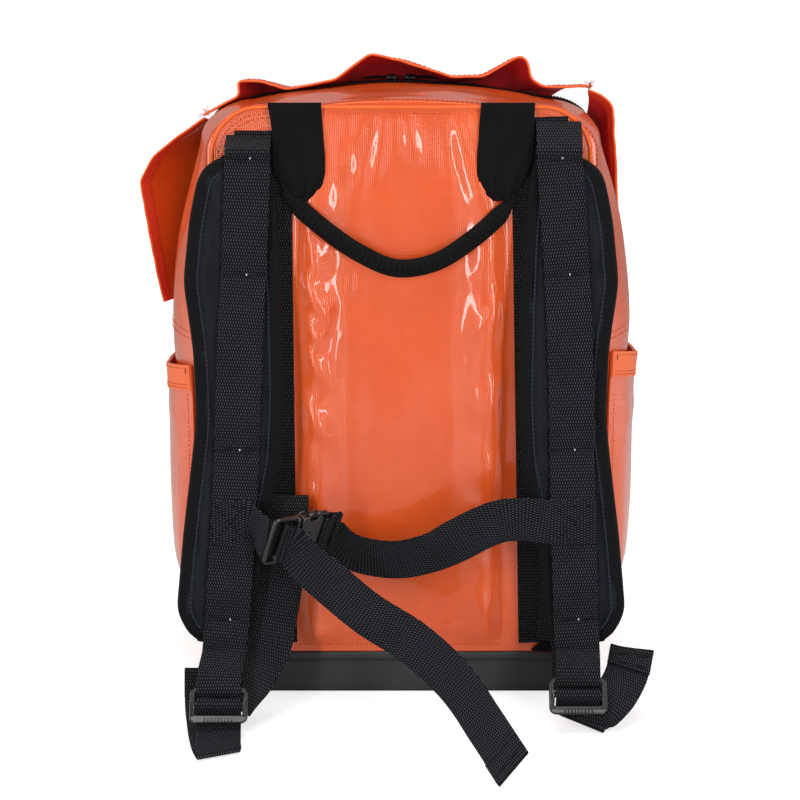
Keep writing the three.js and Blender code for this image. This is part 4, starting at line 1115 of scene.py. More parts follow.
# ---- carry handle --------------------------------------------------------------------------------
HANDLE_Y = -117.6
TAB_STOPS = {
    "left": [(551, 70, 117), (530, 69, 114), (524, 68.5, 113.2), (503, 67, 113.2), (490, 67, 112),
             (480, 69, 106.5), (472, 74, 102.5), (465, 81, 99)],
    "right": [(551, 70, 117.5), (525, 68.5, 117), (503, 67, 116), (490, 67, 112), (480, 69, 106.5),
              (472, 74, 102.5), (465, 81, 99)],
}
GRIP_STOPS = [(-103, -119.6, 474), (-92, -120.8, 461), (-67, -122.6, 439.5), (-37, -124.2, 419),
              (-4, -124.6, 405.5), (31, -124.4, 411), (63, -122.8, 431), (88, -120.8, 453),
              (100, -119.6, 469)]
handle_thread = Stitching()

for tag, sign in SIDES:
    rows = spline([(0, 0, z, inner, outer) for z, inner, outer in TAB_STOPS[tag]], 3.0)
    grid = []
    for _, _, z, inner, outer in rows:
        gather = smooth_step((512 - z) / 45)
        line = []
        for t in np.linspace(-1, 1, 23):
            at = (inner + outer) / 2 + t * (outer - inner) / 2
            fold = gather * (1.6 * math.cos(t * 7.0) - 1.6 + 2.2 * t * t)
            bow = 0.8 * ripple((at, 0, z), 22.0, 4.0)
            line.append((sign * at, HANDLE_Y - 1.5 * gather + fold - bow * 0.4, z))
        grid.append(line)
    cloth_grid(f"handle_{tag}", grid, SATIN, flip=sign > 0, thick=1.7, body="handle",
               replaces=[f"handle_tab_{tag}"], sharp=60)
    for z in (540, 535, 546):
        line = [(sign * x, HANDLE_Y - 1.1, z) for x in np.arange(72, 116, 4)]
        handle_thread.seam(line, (0, -1, 0), radius=0.36)

rows = spline(GRIP_STOPS, 3.0)
_, side, face = path_frame(rows, (0, -1, 0))
run = lengths(rows)
taper = (0.4 + 0.6 * smooth_step(np.minimum(run, run[-1] - run) / 24))[:, None]
section = []
for a in (TAU * k / 26 for k in range(26)):
    section.append((2.9 * math.sin(a) * (1 - 0.16 * math.cos(2 * a)),
                    8.2 * abs(math.cos(a)) ** 0.8 * np.sign(math.cos(a))))
grip = sweep("handle_grip_roll", rows, side * taper, face * taper, section, SATIN, body="handle",
             replaces=["handle_grip"], sharp=70)
for low in (-5.2, 5.6):
    handle_thread.seam((rows + face * low + side * 2.1)[6:-6], side[6:-6], pitch=4.6, radius=0.36)
handle_thread.done("handle_stitches", BLACK_THREAD, "handle")

# ---- shoulder pads -------------------------------------------------------------------------------
PAD_OUTER = [(68, 183), (84, 194), (98, 202), (170, 195), (240, 186), (275, 182), (335, 184), (395, 192),
             (450, 186), (492, 177), (510, 154)]
PAD_INNER = [(68, 137), (110, 131), (160, 124), (200, 116), (235, 108), (290, 105), (365, 106), (430, 108),
             (476, 112), (510, 120)]
PAD_LOW, PAD_TOP, PAD_LEAN = 68, 510, 0.107
TACKS = (504, 403, 248, 95)
WEB_CENTRE = {
    "left": [(66, 159), (95, 156), (149, 152), (203, 148), (248, 146), (293, 144), (346, 142), (403, 138.5),
             (470, 135.2), (504, 134.4)],
    "right": [(66, 159), (95, 157), (149, 155), (203, 153), (248, 152), (293, 151), (346, 149), (403, 146),
              (470, 141), (504, 138.6)],
}
WEB_TOP = {"left": 522, "right": 534}


def web_centre(sign, z):
    return table(WEB_CENTRE["left" if sign < 0 else "right"], z)


def pad_edge_y(z):
    return -125 - PAD_LEAN * (508 - z)


def eased(pairs, z):
    reach = min(9.0, max(0.0, min(z - PAD_LOW, PAD_TOP - z) / 2))
    return float(np.mean(table(pairs, z + np.linspace(-reach, reach, 7))))


def pad_sides(z):
    return eased(PAD_INNER, z), eased(PAD_OUTER, z)


def pad_blank(sign, front, back):
    """A closed pad, slightly thinner than the finished one: points and faces."""
    columns, rows = 17, 60
    points = []
    for surface, depth in ((-1, front), (1, back)):
        for i in range(rows + 1):
            z = PAD_LOW + 1 + (PAD_TOP - PAD_LOW - 2) * i / rows
            inner, outer = pad_sides(z)
            end = smooth_step(min(z - PAD_LOW, PAD_TOP - z) / 12)
            for j in range(columns):
                t = j / (columns - 1)
                edge = min(t, 1 - t) * (outer - inner)
                full = 2 + (depth - 2) * math.sqrt(smooth_step((edge - 5) / 11)) * end
                x = inner + 1 + (outer - inner - 2) * t
                points.append((sign * x, pad_edge_y(z) + surface * full, z))
    return np.array(points), pillow_faces(rows + 1, columns)


def swollen(points, faces, sign, cap):
    """Cloth simulation of the pad's cover, filled under pressure and held along its bound edge."""
    mesh = bpy.data.meshes.new("pad_sim")
    mesh.from_pydata((points * MM).tolist(), [], faces)
    obj = bpy.data.objects.new("pad_sim", mesh)
    bpy.context.scene.collection.objects.link(obj)
    remesh = obj.modifiers.new("remesh", "REMESH")
    remesh.mode = "VOXEL"
    remesh.voxel_size = VOXEL
    bpy.context.view_layer.update()
    obj.data = bpy.data.meshes.new_from_object(obj.evaluated_get(bpy.context.evaluated_depsgraph_get()))
    obj.modifiers.clear()
    start = np.array([v.co[:] for v in obj.data.vertices])
    held = obj.vertex_groups.new(name="held")
    for i, (x, y, z) in enumerate(start / MM):
        inner, outer = pad_sides(min(max(z, PAD_LOW), PAD_TOP))
        edge = min(abs(x) - inner, outer - abs(x), z - PAD_LOW, PAD_TOP - z)
        tacked = min(abs(z - t) for t in TACKS) < 5 and abs(abs(x) - web_centre(sign, z)) < 19
        if edge < 8 or tacked:
            held.add([i], 1.0, "REPLACE")
    cloth = obj.modifiers.new("cloth", "CLOTH")
    cloth.settings.use_pressure = True
    cloth.settings.uniform_pressure_force = PRESSURE
    cloth.settings.effector_weights.gravity = 0
    cloth.settings.vertex_group_mass = "held"
    cloth.settings.bending_stiffness = 0.8
    cloth.point_cache.frame_start, cloth.point_cache.frame_end = 1, SIM_FRAMES
    scene = bpy.context.scene
    for step in range(1, SIM_FRAMES + 1):
        scene.frame_set(step)
    ended = bpy.data.meshes.new_from_object(obj.evaluated_get(bpy.context.evaluated_depsgraph_get()))
    scene.frame_set(1)
    moved = np.array([v.co[:] for v in ended.vertices]) - start
    size = np.linalg.norm(moved, axis=1, keepdims=True)
    moved *= np.minimum(1.0, cap * MM / np.maximum(size, 1e-9))
    result = (start + moved) / MM, [tuple(p.vertices) for p in obj.data.polygons]
    bpy.data.objects.remove(obj)
    return result


def pad_detail(points, sign):
    """Presses in the tacks, the channel beside the binding, and small pulls in the cloth."""
    out = points.copy()
    for i, (x, y, z) in enumerate(points):
        z_in = min(max(z, PAD_LOW), PAD_TOP)
        inner, outer = pad_sides(z_in)
        edge = min(abs(x) - inner, outer - abs(x))
        toward = np.sign(pad_edge_y(z) - y)
        press = 1.6 * bump_at(edge, 12.5, 1.8)
        centre = web_centre(sign, z_in)
        for tack in TACKS:
            near = bump_at(z, tack, 9) * smooth_step(1.35 - abs(abs(x) - centre) / 30)
            press += 3.2 * near
            press += 0.8 * bump_at(z, tack, 24) * math.sin(abs(x) / 2.6) * smooth_step(edge / 8)
        press += 0.7 * ripple((x, y, z), 16.0, 8.0) + 0.5 * ripple((x * 1.5, y, z * 0.5), 9.0, 5.0)
        press += 1.1 * ripple((x * 2.0, y, z * 0.3), 12.0, 3.0) * smooth_step((34 - edge) / 20)
        out[i, 1] += toward * press * smooth_step(edge / 5)
    return out


def bound_loop(sign):
    """The pad's edge, once round, with the direction out of the pad at each point."""
    loop = []
    for z in np.arange(PAD_LOW + 8, PAD_TOP - 7, 4.0):
        loop.append((pad_sides(z)[1], z))
    inner_top, outer_top = pad_sides(PAD_TOP)
    loop += [(outer_top - 1, PAD_TOP - 3), ((inner_top + outer_top) / 2, PAD_TOP),
             (inner_top + 2, PAD_TOP - 2)]
    for z in np.arange(PAD_TOP - 10, PAD_LOW + 7, -4.0):
        loop.append((pad_sides(z)[0], z))
    inner_low, outer_low = pad_sides(PAD_LOW)
    loop += [(inner_low + 2, PAD_LOW + 2), ((inner_low + outer_low) / 2, PAD_LOW),
             (outer_low - 2, PAD_LOW + 2)]
    points = np.array([(sign * x, pad_edge_y(z), z) for x, z in loop])
    for _ in range(2):
        points = (np.roll(points, 1, 0) + 2 * points + np.roll(points, -1, 0)) / 4
    tangent = unit(np.roll(points, -1, 0) - np.roll(points, 1, 0))
    forward = unit(np.broadcast_to((0, -1, PAD_LEAN), points.shape) * 1.0)
    out = np.cross(tangent, forward) * sign
    return points, out, forward


# (in from the edge, off the middle) round the folded binding tape; its back mirrors its front.
BIND_FRONT = [(-10.4, 2.6), (-10.0, 4.0), (-8.6, 4.2), (-7.4, 3.7), (-5, 4.2), (-1.5, 3.4), (0.2, 2.0)]
BIND_SECTION = [*BIND_FRONT, (0.8, 0), *((u, -v) for u, v in BIND_FRONT[::-1])]


def shoulder_pad(tag, sign):
    body = f"shoulder_{tag}"
    points, faces = swollen(*pad_blank(sign, 6.6, 5.0), sign, 3.4)
    obj = make_mesh(f"pad_{tag}", pad_detail(points, sign), faces, PAD_CLOTH, body=body,
                    replaces=[f"shoulder_pad_{tag}"], levels=1, sharp=80)
    loop, out, forward = bound_loop(sign)
    wavy = np.array([1 + 0.12 * ripple(p, 14.0, 3.0) for p in loop])[:, None]
    sweep(f"pad_binding_{tag}", loop, out * wavy, forward * wavy, BIND_SECTION, RIB, closed=True,
          body=body, sharp=60)
    # A thin ridge inside the binding on each face; its shape is real, its lighter colour is a painted
    # highlight along it.
    for face_name, stand in (("front", -4.5), ("back", 4.0)):
        ridge = loop - out * 11.4 + np.array((0, stand, 0))
        tube(f"pad_ridge_{tag}_{face_name}", ridge, 1.0, PAD_RIDGE_PAINTED_HIGHLIGHT, closed=True, body=body, sides=7)
    thread = Stitching()
    inset = np.vstack([loop, loop[:1]]) - np.vstack([out, out[:1]]) * 7.6
    for face in (-1, 1):
        thread.seam(inset + np.array((0, 3.7 * face, -0.3 * face)), (0, face, 0), radius=0.34)
    return thread


# ---- webbing along each pad, its ladder lock and the adjuster tail -------------------------------
LOCK = {"left": (162, -207, 38.5, 33), "right": (158, -200, 45, 24)}
BAR, SLOT, SLOT_HALF, WRAP = 4.4, 8, 21.5, 4.6


def web_front(z):
    return pad_edge_y(z) - 9 - 0.3 - 0.85 - 0.3


def lock_axes(tag, sign):
    x, y, z, slope = LOCK[tag]
    a = math.radians(slope)
    return (np.array((sign * x, y, z), float), np.array((0, -math.sin(a), -math.cos(a))),
            np.array((0, -math.cos(a), math.sin(a))))


def lock_point(tag, sign, u, w, n):
    origin, down, out = lock_axes(tag, sign)
    return origin + np.array((u, 0, 0)) + down * w + out * n


def with_side(point, side=(1, 0, 0)):
    return (*point, *side)


def tack_lift(x, z):
    """The webbing stands off the pad between its tacks and is pulled down at each one."""
    if z < 80:
        return 0.0
    near = sum(float(bump_at(z, t, 15)) for t in TACKS)
    return -2.4 * near + 1.0 * (1 - min(1.0, near))


def pad_webbing(tag, sign, thread):
    top_x, top_z = web_centre(sign, 504), WEB_TOP[tag]
    stops = [with_side((sign * top_x, -115.4, top_z)), with_side((sign * top_x, -119.5, top_z - 4)),
             with_side((sign * top_x, web_front(512) - 0.5, 511))]
    for z, x in WEB_CENTRE[tag][::-1]:
        stops.append(with_side((sign * x, web_front(z), z)))
    dense = []
    for a, b in zip(stops[3:], stops[4:]):
        for t in (0, 0.25, 0.5, 0.75):
            at = np.array(a) * (1 - t) + np.array(b) * t
            at[1] -= tack_lift(at[0], at[2])
            dense.append(tuple(at))
    stops = stops[:3] + dense + [with_side((sign * 159, web_front(66), 66))]
    stops.append(with_side(lock_point(tag, sign, 0, -12, WRAP)))
    stops += [with_side(lock_point(tag, sign, 0, WRAP * math.sin(a), WRAP * math.cos(a)))
              for a in np.linspace(0, math.pi, 7)]
    stops.append(with_side(lock_point(tag, sign, 0, -11, -WRAP)))
    _, centres, side, face = strap(f"pad_webbing_{tag}_strap", stops, STRAP_WIDTH, WEBBING,
                                   body=f"shoulder_{tag}", replaces=[f"pad_webbing_{tag}"])
    knots = Stitching()
    past_lock = (np.arange(len(centres)) > len(centres) * 0.93) * 500
    for tack in TACKS:
        i = int(np.argmin(np.abs(centres[:, 2] - tack) + past_lock))
        out = np.array((0, -1, PAD_LEAN))
        thread.tack(centres[i] + out * 0.9, side[i], out, 37)
        for lean in (-0.6, 0.6):
            knot = centres[i] + out * 1.3 + side[i] * 2.5
            knots.stitch(knot + (lean, 0, -0.9), knot - (lean, 0, -0.9), out, 0.5)
    thread.done(f"pad_stitches_{tag}", BLACK_THREAD, f"shoulder_{tag}")
    knots.done(f"pad_knots_{tag}", PALE_THREAD, f"shoulder_{tag}")


def ladder_lock(tag, sign):
    total = BAR * 3 + SLOT * 2 + 3
    holes = [rounded_loop(-SLOT_HALF, SLOT_HALF, y, y + SLOT, 1.6) for y in (BAR, BAR * 2 + SLOT)]
    _, down, out = lock_axes(tag, sign)
    origin = lock_point(tag, sign, 0, -BAR / 2, 0)
    place = Matrix(((-1, down[0], out[0], origin[0]), (0, down[1], out[1], origin[1]),
                    (0, down[2], out[2], origin[2]), (0, 0, 0, 1)))

    def shaped(points):
        """Thins the middle bar, hollows the sides and turns the thumb lever outwards."""
        moved = points.copy()
        low = smooth_step((points[:, 1] - (total - 7)) / 7)
        moved[:, 2] += 2.4 * low
        middle = bump_at(points[:, 1], BAR * 1.5 + SLOT, 3.2) * (np.abs(points[:, 0]) < SLOT_HALF)
        moved[:, 2] *= 1 - 0.35 * middle
        moved[:, 0] *= 1 - 0.035 * bump_at(points[:, 1], total / 2, 7)
        return moved

    outer = rounded_loop(-26, 26, 0, total, 6)
    plate(f"ladder_lock_{tag}_body", [outer, *holes], 4.6, 1.3, place, GLOSS, f"lock_{tag}",
          [f"ladder_lock_{tag}"], bend=shaped)
    for u in np.linspace(-12, 12, 9):
        a, b = (lock_point(tag, sign, u, total - BAR / 2 - 5.2 + s, 3.6 + s * 0.35) for s in (0, 3.4))
        tube(f"ladder_lock_{tag}_grip_{int(u + 12):02d}", [a, (a + b) / 2, b], 0.55, GLOSS, hint=(1, 0, 0),
             body=f"lock_{tag}", sides=6)


BEHIND_LEVER = [(14.7, 4), (17.3, 1.6), (19.2, -1.2), (21.5, -3.5), (24, -4.2)]
# The right free end is folded flat about this slanting crease.
CREASE = (1.0, -.166, -.368)
TAIL_STOPS = {
    "left": [(-162, -218.5, 13.1), (-162, -221.4, 9.7), (-161.5, -230, 5.8), (-160.5, -242, 5.1, .98, .2, 0),
             (-159, -254, 4.9, .95, .3, 0), (-157, -265, 4.8, .9, .43, 0), (-157.4, -267, 3.3, .9, .43, 0),
             (-158, -265, 1.8, .9, .43, 0), (-163, -250, 1.7, .95, .3, 0), (-168, -225, 1.7, 1, .1, 0),
             (-173, -196, 2.2), (-176, -180, 12), (-177, -170, 27), (-177, -166, 42)],
    "right": [(158.5, -207.6, 17.7, 1, -.05, -.115), (159.8, -209.2, 14.1, 1, -.1, -.228),
              (161.5, -211, 10.6, *CREASE), (161.1, -211, 9.5, *CREASE), (160.9, -210.1, 8.6, *CREASE),
              (161.1, -208.9, 8.6, *CREASE), (161.5, -208.1, 9.3, *CREASE),
              (168, -206.5, 13.8, .84, -.22, -.497), (177, -205, 19, .719, -.286, -.632),
              (190, -198, 28, .8, -.24, -.5), (203, -180, 41, .92, -.15, -.28), (211, -155, 57, 1, 0, -.1)],
}


def folded_end(name, centre, side, face, back, body, reach=24):
    """A strap's end folded over on itself and sewn down: the second layer and its stitches."""
    rows = [(*(centre[-1 - k] + face[-1 - k] * back * (STRAP_THICK + 0.25)), *side[-1 - k])
            for k in range(0, int(np.searchsorted(lengths(centre[::-1]), reach)))]
    tip = centre[-1] + unit(centre[-1] - centre[-2]) * 1.6 + face[-1] * back * (STRAP_THICK / 2)
    stops = [(*centre[-1], *side[-1]), (*tip, *side[-1]), *rows[::2]]
    return strap(name, stops, STRAP_WIDTH, WEBBING, wobble=0, body=body)


def adjuster_tail(tag, sign):
    middle = BAR + SLOT
    stops = [with_side(lock_point(tag, sign, 0, middle + 1, -WRAP))]
    stops += [with_side(lock_point(tag, sign, 0, middle - WRAP * math.sin(a), -WRAP * math.cos(a)))
              for a in np.linspace(0, math.pi, 6)]
    stops += [with_side(lock_point(tag, sign, 0, w, n)) for w, n in BEHIND_LEVER]
    stops += [s if len(s) == 6 else with_side(s) for s in TAIL_STOPS[tag]]
    body = f"lock_{tag}"
    _, centres, side, face = strap(f"adjuster_tail_{tag}_strap", stops, STRAP_WIDTH, WEBBING, body=body,
                                   wobble=0, step=1.4, slanted=True, replaces=[f"adjuster_tail_{tag}"])
    front = np.sign(np.dot(face[-4], (0, -1, 0.3)))
    folded_end(f"adjuster_tail_{tag}_fold", centres, side, face, front, body)
    thread = Stitching()
    for k in (-6, -14):
        thread.tack(centres[k] + face[k] * front * 2.9, side[k], face[k] * front, 36, rows=2)
    thread.done(f"adjuster_tail_{tag}_stitches", BLACK_THREAD, body)


for tag, sign in SIDES:
    pad_thread = shoulder_pad(tag, sign)
    pad_webbing(tag, sign, pad_thread)
    ladder_lock(tag, sign)
    adjuster_tail(tag, sign)

# ---- chest strap and its side-release buckle -----------------------------------------------------
BUCKLE_CENTRE = np.array((-92.0, -184, 174))
ROLL, YAW, TILT = math.radians(-3), math.radians(40), math.radians(22)
ALONG = np.array((math.cos(YAW) * math.cos(ROLL), math.sin(YAW), math.cos(YAW) * math.sin(ROLL)))
UPRIGHT = np.array((-math.sin(ROLL), 0, math.cos(ROLL)))
FRONT = np.cross(ALONG, UPRIGHT)
UP = UPRIGHT * math.cos(TILT) + FRONT * math.sin(TILT)
OUT = FRONT * math.cos(TILT) - UPRIGHT * math.sin(TILT)


def buckle_point(a, b, n):
    return BUCKLE_CENTRE + ALONG * a + UP * b + OUT * n


def buckle_place(n=0.0):
    origin = buckle_point(0, 0, n)
    return Matrix([[ALONG[i], UP[i], OUT[i], origin[i]] for i in range(3)] + [[0, 0, 0, 1]])


def buckle_turn(a, n, radius, start, end, steps=6):
    return [with_side(buckle_point(a + radius * math.cos(t), 0, n + radius * math.sin(t)), UP)
            for t in np.radians(np.linspace(start, end, steps + 1))]


def domed(points):
    """Crowns a buckle face across its width."""
    moved = points.copy()
    moved[:, 2] += np.sign(points[:, 2]) * 0.9 * (1 - (points[:, 1] / 26) ** 2) * (np.abs(points[:, 2]) > 0.8)
    return moved


HALF = 25
plug = [rounded_loop(-32, -5, -HALF, HALF, 5),
        rounded_loop(-28.5, -19.5, -21.5, 21.5, 1.8), rounded_loop(-15.5, -9.5, -21.5, 21.5, 1.8)]
for name, outlines, thick, bevel, stands_for in (
        ("frame", plug, 4.0, 1.2, ["buckle_plug"]),
        ("shoulder", [rounded_loop(-8.8, -4.4, -HALF + 1, HALF - 1, 1.8)], 8.6, 1.2, []),
        ("guide", [rounded_loop(-5, 12, -5, 5, 2)], 4.8, 0.9, [])):
    plate(f"buckle_plug_{name}", outlines, thick, bevel, buckle_place(), GLOSS, "shoulder_left", stands_for)
low_half = [(-3.6, -HALF + 2), (-1, -HALF), (3, -HALF), (4.5, -HALF + 4.5), (12, -HALF + 4.5), (14, -HALF),
            (17, -HALF + 1), (18.5, -HALF + 4)]
shell = low_half + [(a, -b) for a, b in low_half[::-1]]
for tag, n in (("front", 4.5), ("back", -4.5)):
    plate(f"buckle_socket_{tag}", [shell], 2.2, 0.8, buckle_place(n), GLOSS, "shoulder_right",
          ["buckle_socket"], bend=domed if tag == "front" else None)
socket_bar = [rounded_loop(13, 28, -HALF, HALF, 4.4), rounded_loop(18.5, 23.5, -21.5, 21.5, 1.6)]
for name, outlines, thick, bevel, n in (
        ("socket_end", [rounded_loop(14.4, 17.4, -HALF + 2, HALF - 2, 1.2)], 9.6, 0.8, 0),
        ("socket_bar", socket_bar, 4.6, 1.2, 0),
        ("socket_post_low", [rounded_loop(-3.2, 1.5, -HALF + 1.4, -HALF + 4.6, 0.9)], 9.0, 0.5, 0),
        ("socket_post_high", [rounded_loop(-3.2, 1.5, HALF - 4.6, HALF - 1.4, 0.9)], 9.0, 0.5, 0),
        ("thumb_dish", [rounded_loop(2.5, 11.5, -8, 8, 4)], 0.9, 0.3, 6.45)):
    plate(f"buckle_{name}", outlines, thick, bevel, buckle_place(n), GLOSS, "shoulder_right")
for tag, s in (("upper", 1), ("lower", -1)):
    arm = [(-3.8, s * 13), (6, s * 12.6), (12.4, s * 14), (12.6, s * 19), (11.8, s * 25.2), (8.5, s * 25.6),
           (5.0, s * 24.2), (4.4, s * 19.6), (0, s * 17.8), (-3.8, s * 18)]
    plate(f"buckle_arm_{tag}_prong", [arm[::s]], 4.9, 1.0, buckle_place(), GLOSS, f"buckle_arm_{tag}",
          [f"buckle_arm_{tag}"])

CHEST_Z = 184
CHEST_Y = web_front(CHEST_Z) - 1.7 - 0.6
PAD_SLOPE = (0, PAD_LEAN, 1)
left = [(-168, CHEST_Y, 184, *PAD_SLOPE), (-150, CHEST_Y, 184, *PAD_SLOPE), (-137, CHEST_Y, 184, *PAD_SLOPE),
        (-131, CHEST_Y - 4, 182, 0, -0.1, 1), with_side(buckle_point(-30, 0, -4.6), UP)]
left += buckle_turn(-17.5, 0, BAR, -90, 90)
left += buckle_turn(-19.5, BAR + 1.4, 1.4, -90, -270, 5)
left += [with_side(buckle_point(-13, 0, 8), UP), (-85, -201, 157, .45, -.15, .88),
         (-64, -206, 140, .57, 0, .82), (-30, -216, 114, .57, 0, .82), (12, -234, 92, .57, 0, .82),
         (48, -262, 66, .55, 0, .83), (71, -298, 43, .5, .05, .86), (93, -338, 21.5, .45, .1, .88)]
_, centres, side, face = strap("chest_strap_left_web", left, STRAP_WIDTH, WEBBING, body="shoulder_left",
                               replaces=["chest_strap_left"])
chest_left, chest_right = Stitching(), Stitching()
toward = np.sign(np.dot(face[-4], (0, -1, 0.5)))
folded_end("chest_strap_left_fold", centres, side, face, toward, "shoulder_left", reach=26)
for k in (-4, -10):
    chest_left.tack(centres[k] + face[k] * toward * 2.9, side[k], face[k] * toward, 36, rows=2)

right = [(174, CHEST_Y, 184.5, *PAD_SLOPE), (134, CHEST_Y, 184.5, *PAD_SLOPE),
         (110, CHEST_Y - 1, 187, 0, 0, 1), (88, CHEST_Y, 185, -.3, 0, .95), (68, -173, 177, -.4, 0, .92),
         (50, -172, 167, -.4, 0, .92), (30, -168, 155.5, -.35, -.2, .92), (0, -158, 145, 0, -.3, .95),
         (-26, -148, 143.5, .15, -.3, .93), (-46, -142, 147.5, .25, -.3, .91),
         with_side(buckle_point(50, -18, -5.4), UP), with_side(buckle_point(37, -11, -4.6), UP)]
strap("chest_strap_right_web", right, STRAP_WIDTH, WEBBING, body="shoulder_right",
      replaces=["chest_strap_right"])
loop = [with_side(buckle_point(a, 0, n), UP) for a, n in ((44, -1.1), (35, -1.3), (30, -3.6))]
loop += buckle_turn(26, 0, BAR, 270, 90)
loop += [with_side(buckle_point(a, 0, n), UP) for a, n in ((30, 3.6), (35, 1.3), (44, 1.1))]
strap("chest_loop_right_web", loop, STRAP_WIDTH, WEBBING, body="shoulder_right",
      replaces=["chest_loop_right"])
chest_right.tack(buckle_point(38, 0, 2.2), UP, OUT, 37, rows=3)


def box_stitch(thread, x, half_x, half_z):
    """A sewn box with crossed diagonals, on the face of a strap over the pad."""
    corners = [(x - half_x, -half_z), (x + half_x, -half_z), (x + half_x, half_z), (x - half_x, half_z)]
    pairs = [*zip(corners, corners[1:] + corners[:1]), (corners[0], corners[2]), (corners[1], corners[3])]
    for a, b in pairs:
        line = []
        for t in np.linspace(0, 1, 8):
            rise = a[1] + (b[1] - a[1]) * t
            line.append((a[0] + (b[0] - a[0]) * t, CHEST_Y - 0.95 + PAD_LEAN * rise, CHEST_Z + rise))
        thread.seam(line, (0, -1, PAD_LEAN), radius=0.38)


box_stitch(chest_left, -152, 13, 15)
box_stitch(chest_right, 154, 15, 15)
chest_left.done("chest_stitches_left", BLACK_THREAD, "shoulder_left")
chest_right.done("chest_stitches_right", BLACK_THREAD, "shoulder_right")

# ---- lower webbing and anchor patches ------------------------------------------------------------
LOWER_STOPS = {
    "left": [(146, -117.4, 52), (132, -118, 110), (112, -120, 170), (105, -124, 190), (104, -132, 197),
             (104, -140, 188), (106, -144, 150), (112, -150, 104, 1, 0, .1), (121, -166, 59, .97, 0, .2),
             (129, -178, 45, .9, .1, .42), (139, -188, 31, .84, .15, .5), (150, -197, 19, .88, .1, .45)],
    "right": [(146, -117.4, 52), (150, -118, 110), (153, -120, 160), (154, -124, 178), (155, -132, 184),
              (155, -140, 176), (156, -144, 140), (157, -148, 100), (157, -160, 62), (157, -174, 42),
              (157, -186, 31)],
}
for tag, sign in SIDES:
    stops = [(sign * x, y, z, *(way or (1, 0, 0))) for x, y, z, *way in LOWER_STOPS[tag]]
    lower, _, _, _ = strap(f"lower_webbing_{tag}_strap", stops, STRAP_WIDTH, WEBBING, body=None,
                           replaces=[f"lower_webbing_{tag}"])
    turn, end = (tuple(c * MM for c in stops[i][:3]) for i in (4, -1))
    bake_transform(lower)
    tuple(turn)
    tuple(end)
    corners = ((121, 43), (124, 42), (166, 42), (168, 44), (168, 81), (166, 83))
    patch = [(sign * x, z) for x, z in corners][::sign]
    place = Matrix(((1, 0, 0, 0), (0, 0, -1, -115.0), (0, 1, 0, 0), (0, 0, 0, 1)))
    plate(f"anchor_patch_{tag}_cloth", [patch], 1.5, 0.5, place, RIB, "root", [f"anchor_patch_{tag}"])
    tri = [(sign * x, -115.9, z) for x, z in ((128, 45), (164, 45), (164, 76), (128, 45))]
    dark_root.seam(resample(tri, 4, soften=0), (0, -1, 0))
orange_root.done("bag_stitches", ORANGE_THREAD, "root")
dark_root.done("webbing_stitches", BLACK_THREAD, "root")
orange_lid.done("lid_stitches", ORANGE_THREAD, "lid")
red_lid.done("skirt_stitches", ORANGE_THREAD, "lid")

# ---- studio, in metres -----------------------------------------------------------------------------
CAMERA_AT, CAMERA_TARGET, LENS = (-0.0009, -1.8513, 0.6837), (-0.0009, 0, 0.2563), 88.25
FILL_LIGHT = 0.30
FLOOR_FADE = (0.35, 1.6)
FLOOR_SHOWN = (0.60, 1.0)

scene = bpy.context.scene
scene.view_settings.view_transform = "Standard"
camera_data = bpy.data.cameras.new("camera")
camera_data.lens = LENS
camera = bpy.data.objects.new("camera", camera_data)
camera.location = CAMERA_AT
target = Vector(CAMERA_TARGET)
camera.rotation_euler = (target - camera.location).to_track_quat("-Z", "Y").to_euler()
scene.collection.objects.link(camera)
scene.camera = camera


def softbox(name, location, aim, size, power):
    data = bpy.data.lights.new(name, "AREA")
    data.shape = "RECTANGLE"
    data.size, data.size_y = size
    data.energy = power
    light = bpy.data.objects.new(name, data)
    light.location = location
    light.rotation_euler = (Vector(aim) - light.location).to_track_quat("-Z", "Y").to_euler()
    scene.collection.objects.link(light)


MIDDLE = (0, 0, 0.3)
for tag, sign in SIDES:
    softbox(f"softbox_{tag}", (sign * 0.62, -1.3, 0.60), MIDDLE, (0.11, 1.1), 8.5)
softbox("softbox_top", (0, -0.3, 2.2), MIDDLE, (1.8, 1.2), 34)
for tag, sign in SIDES:
    softbox(f"flank_{tag}", (sign * 1.7, 0.15, 0.55), MIDDLE, (1.1, 1.0), 11)

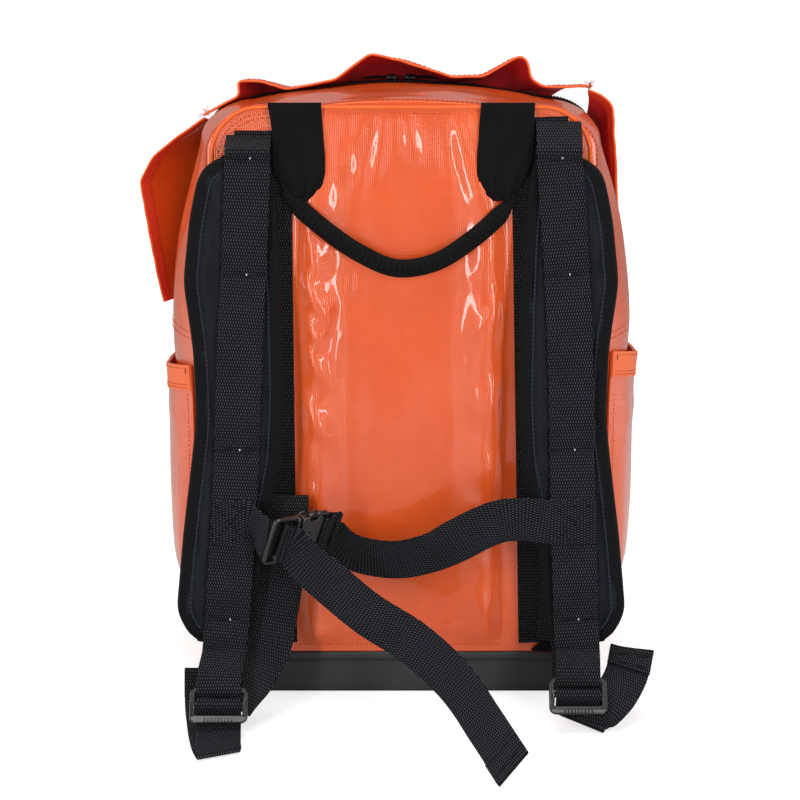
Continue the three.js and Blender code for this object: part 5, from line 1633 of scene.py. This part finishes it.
# The backdrop shows white; as light it is weaker. The floor fades into it away from the object.
world = bpy.data.worlds.new("studio")
scene.world = world
world.use_nodes = True
backdrop = world.node_tree.nodes["Background"]
backdrop.inputs["Color"].default_value = (1, 1, 1, 1)
seen = world.node_tree.nodes.new("ShaderNodeLightPath")
level = world.node_tree.nodes.new("ShaderNodeMapRange")
level.inputs["To Min"].default_value = FILL_LIGHT
level.inputs["To Max"].default_value = 1.0
world.node_tree.links.new(seen.outputs["Is Camera Ray"], level.inputs["Value"])
world.node_tree.links.new(level.outputs["Result"], backdrop.inputs["Strength"])

FLOOR_FINISH = Finish("studio_floor", "", on_cad=True, Roughness=0.9, Specular_IOR_Level=0.1)
FLOOR_FINISH.colour((0.56, 0.56, 0.56), (0.60, 0.60, 0.60), FLOOR_FINISH.noise(400.0))
glow = FLOOR_FINISH.tree.nodes.new("ShaderNodeLightPath")
FLOOR_FINISH.shader.inputs["Emission Color"].default_value = (1, 1, 1, 1)
spot = FLOOR_FINISH.tree.nodes.new("ShaderNodeNewGeometry")
reach = FLOOR_FINISH.tree.nodes.new("ShaderNodeVectorMath")
reach.operation = "LENGTH"
fade = FLOOR_FINISH.tree.nodes.new("ShaderNodeMapRange")
fade.inputs["From Min"].default_value, fade.inputs["From Max"].default_value = FLOOR_FADE
fade.inputs["To Min"].default_value, fade.inputs["To Max"].default_value = FLOOR_SHOWN
shown = FLOOR_FINISH.tree.nodes.new("ShaderNodeMath")
shown.operation = "MULTIPLY"
for source, drain in ((spot.outputs["Position"], reach.inputs[0]),
                      (reach.outputs["Value"], fade.inputs["Value"]),
                      (fade.outputs["Result"], shown.inputs[0]),
                      (glow.outputs["Is Camera Ray"], shown.inputs[1]),
                      (shown.outputs[0], FLOOR_FINISH.shader.inputs["Emission Strength"])):
    FLOOR_FINISH.tree.links.new(source, drain)
floor_mesh = bpy.data.meshes.new("studio_floor")
floor_mesh.from_pydata([(-6, -6, 0), (6, -6, 0), (6, 6, 0), (-6, 6, 0)], [], [(0, 1, 2, 3)])
floor_mesh.materials.append(FLOOR_FINISH.material)
studio_floor = bpy.data.objects.new("studio_floor", floor_mesh)
scene.collection.objects.link(studio_floor)
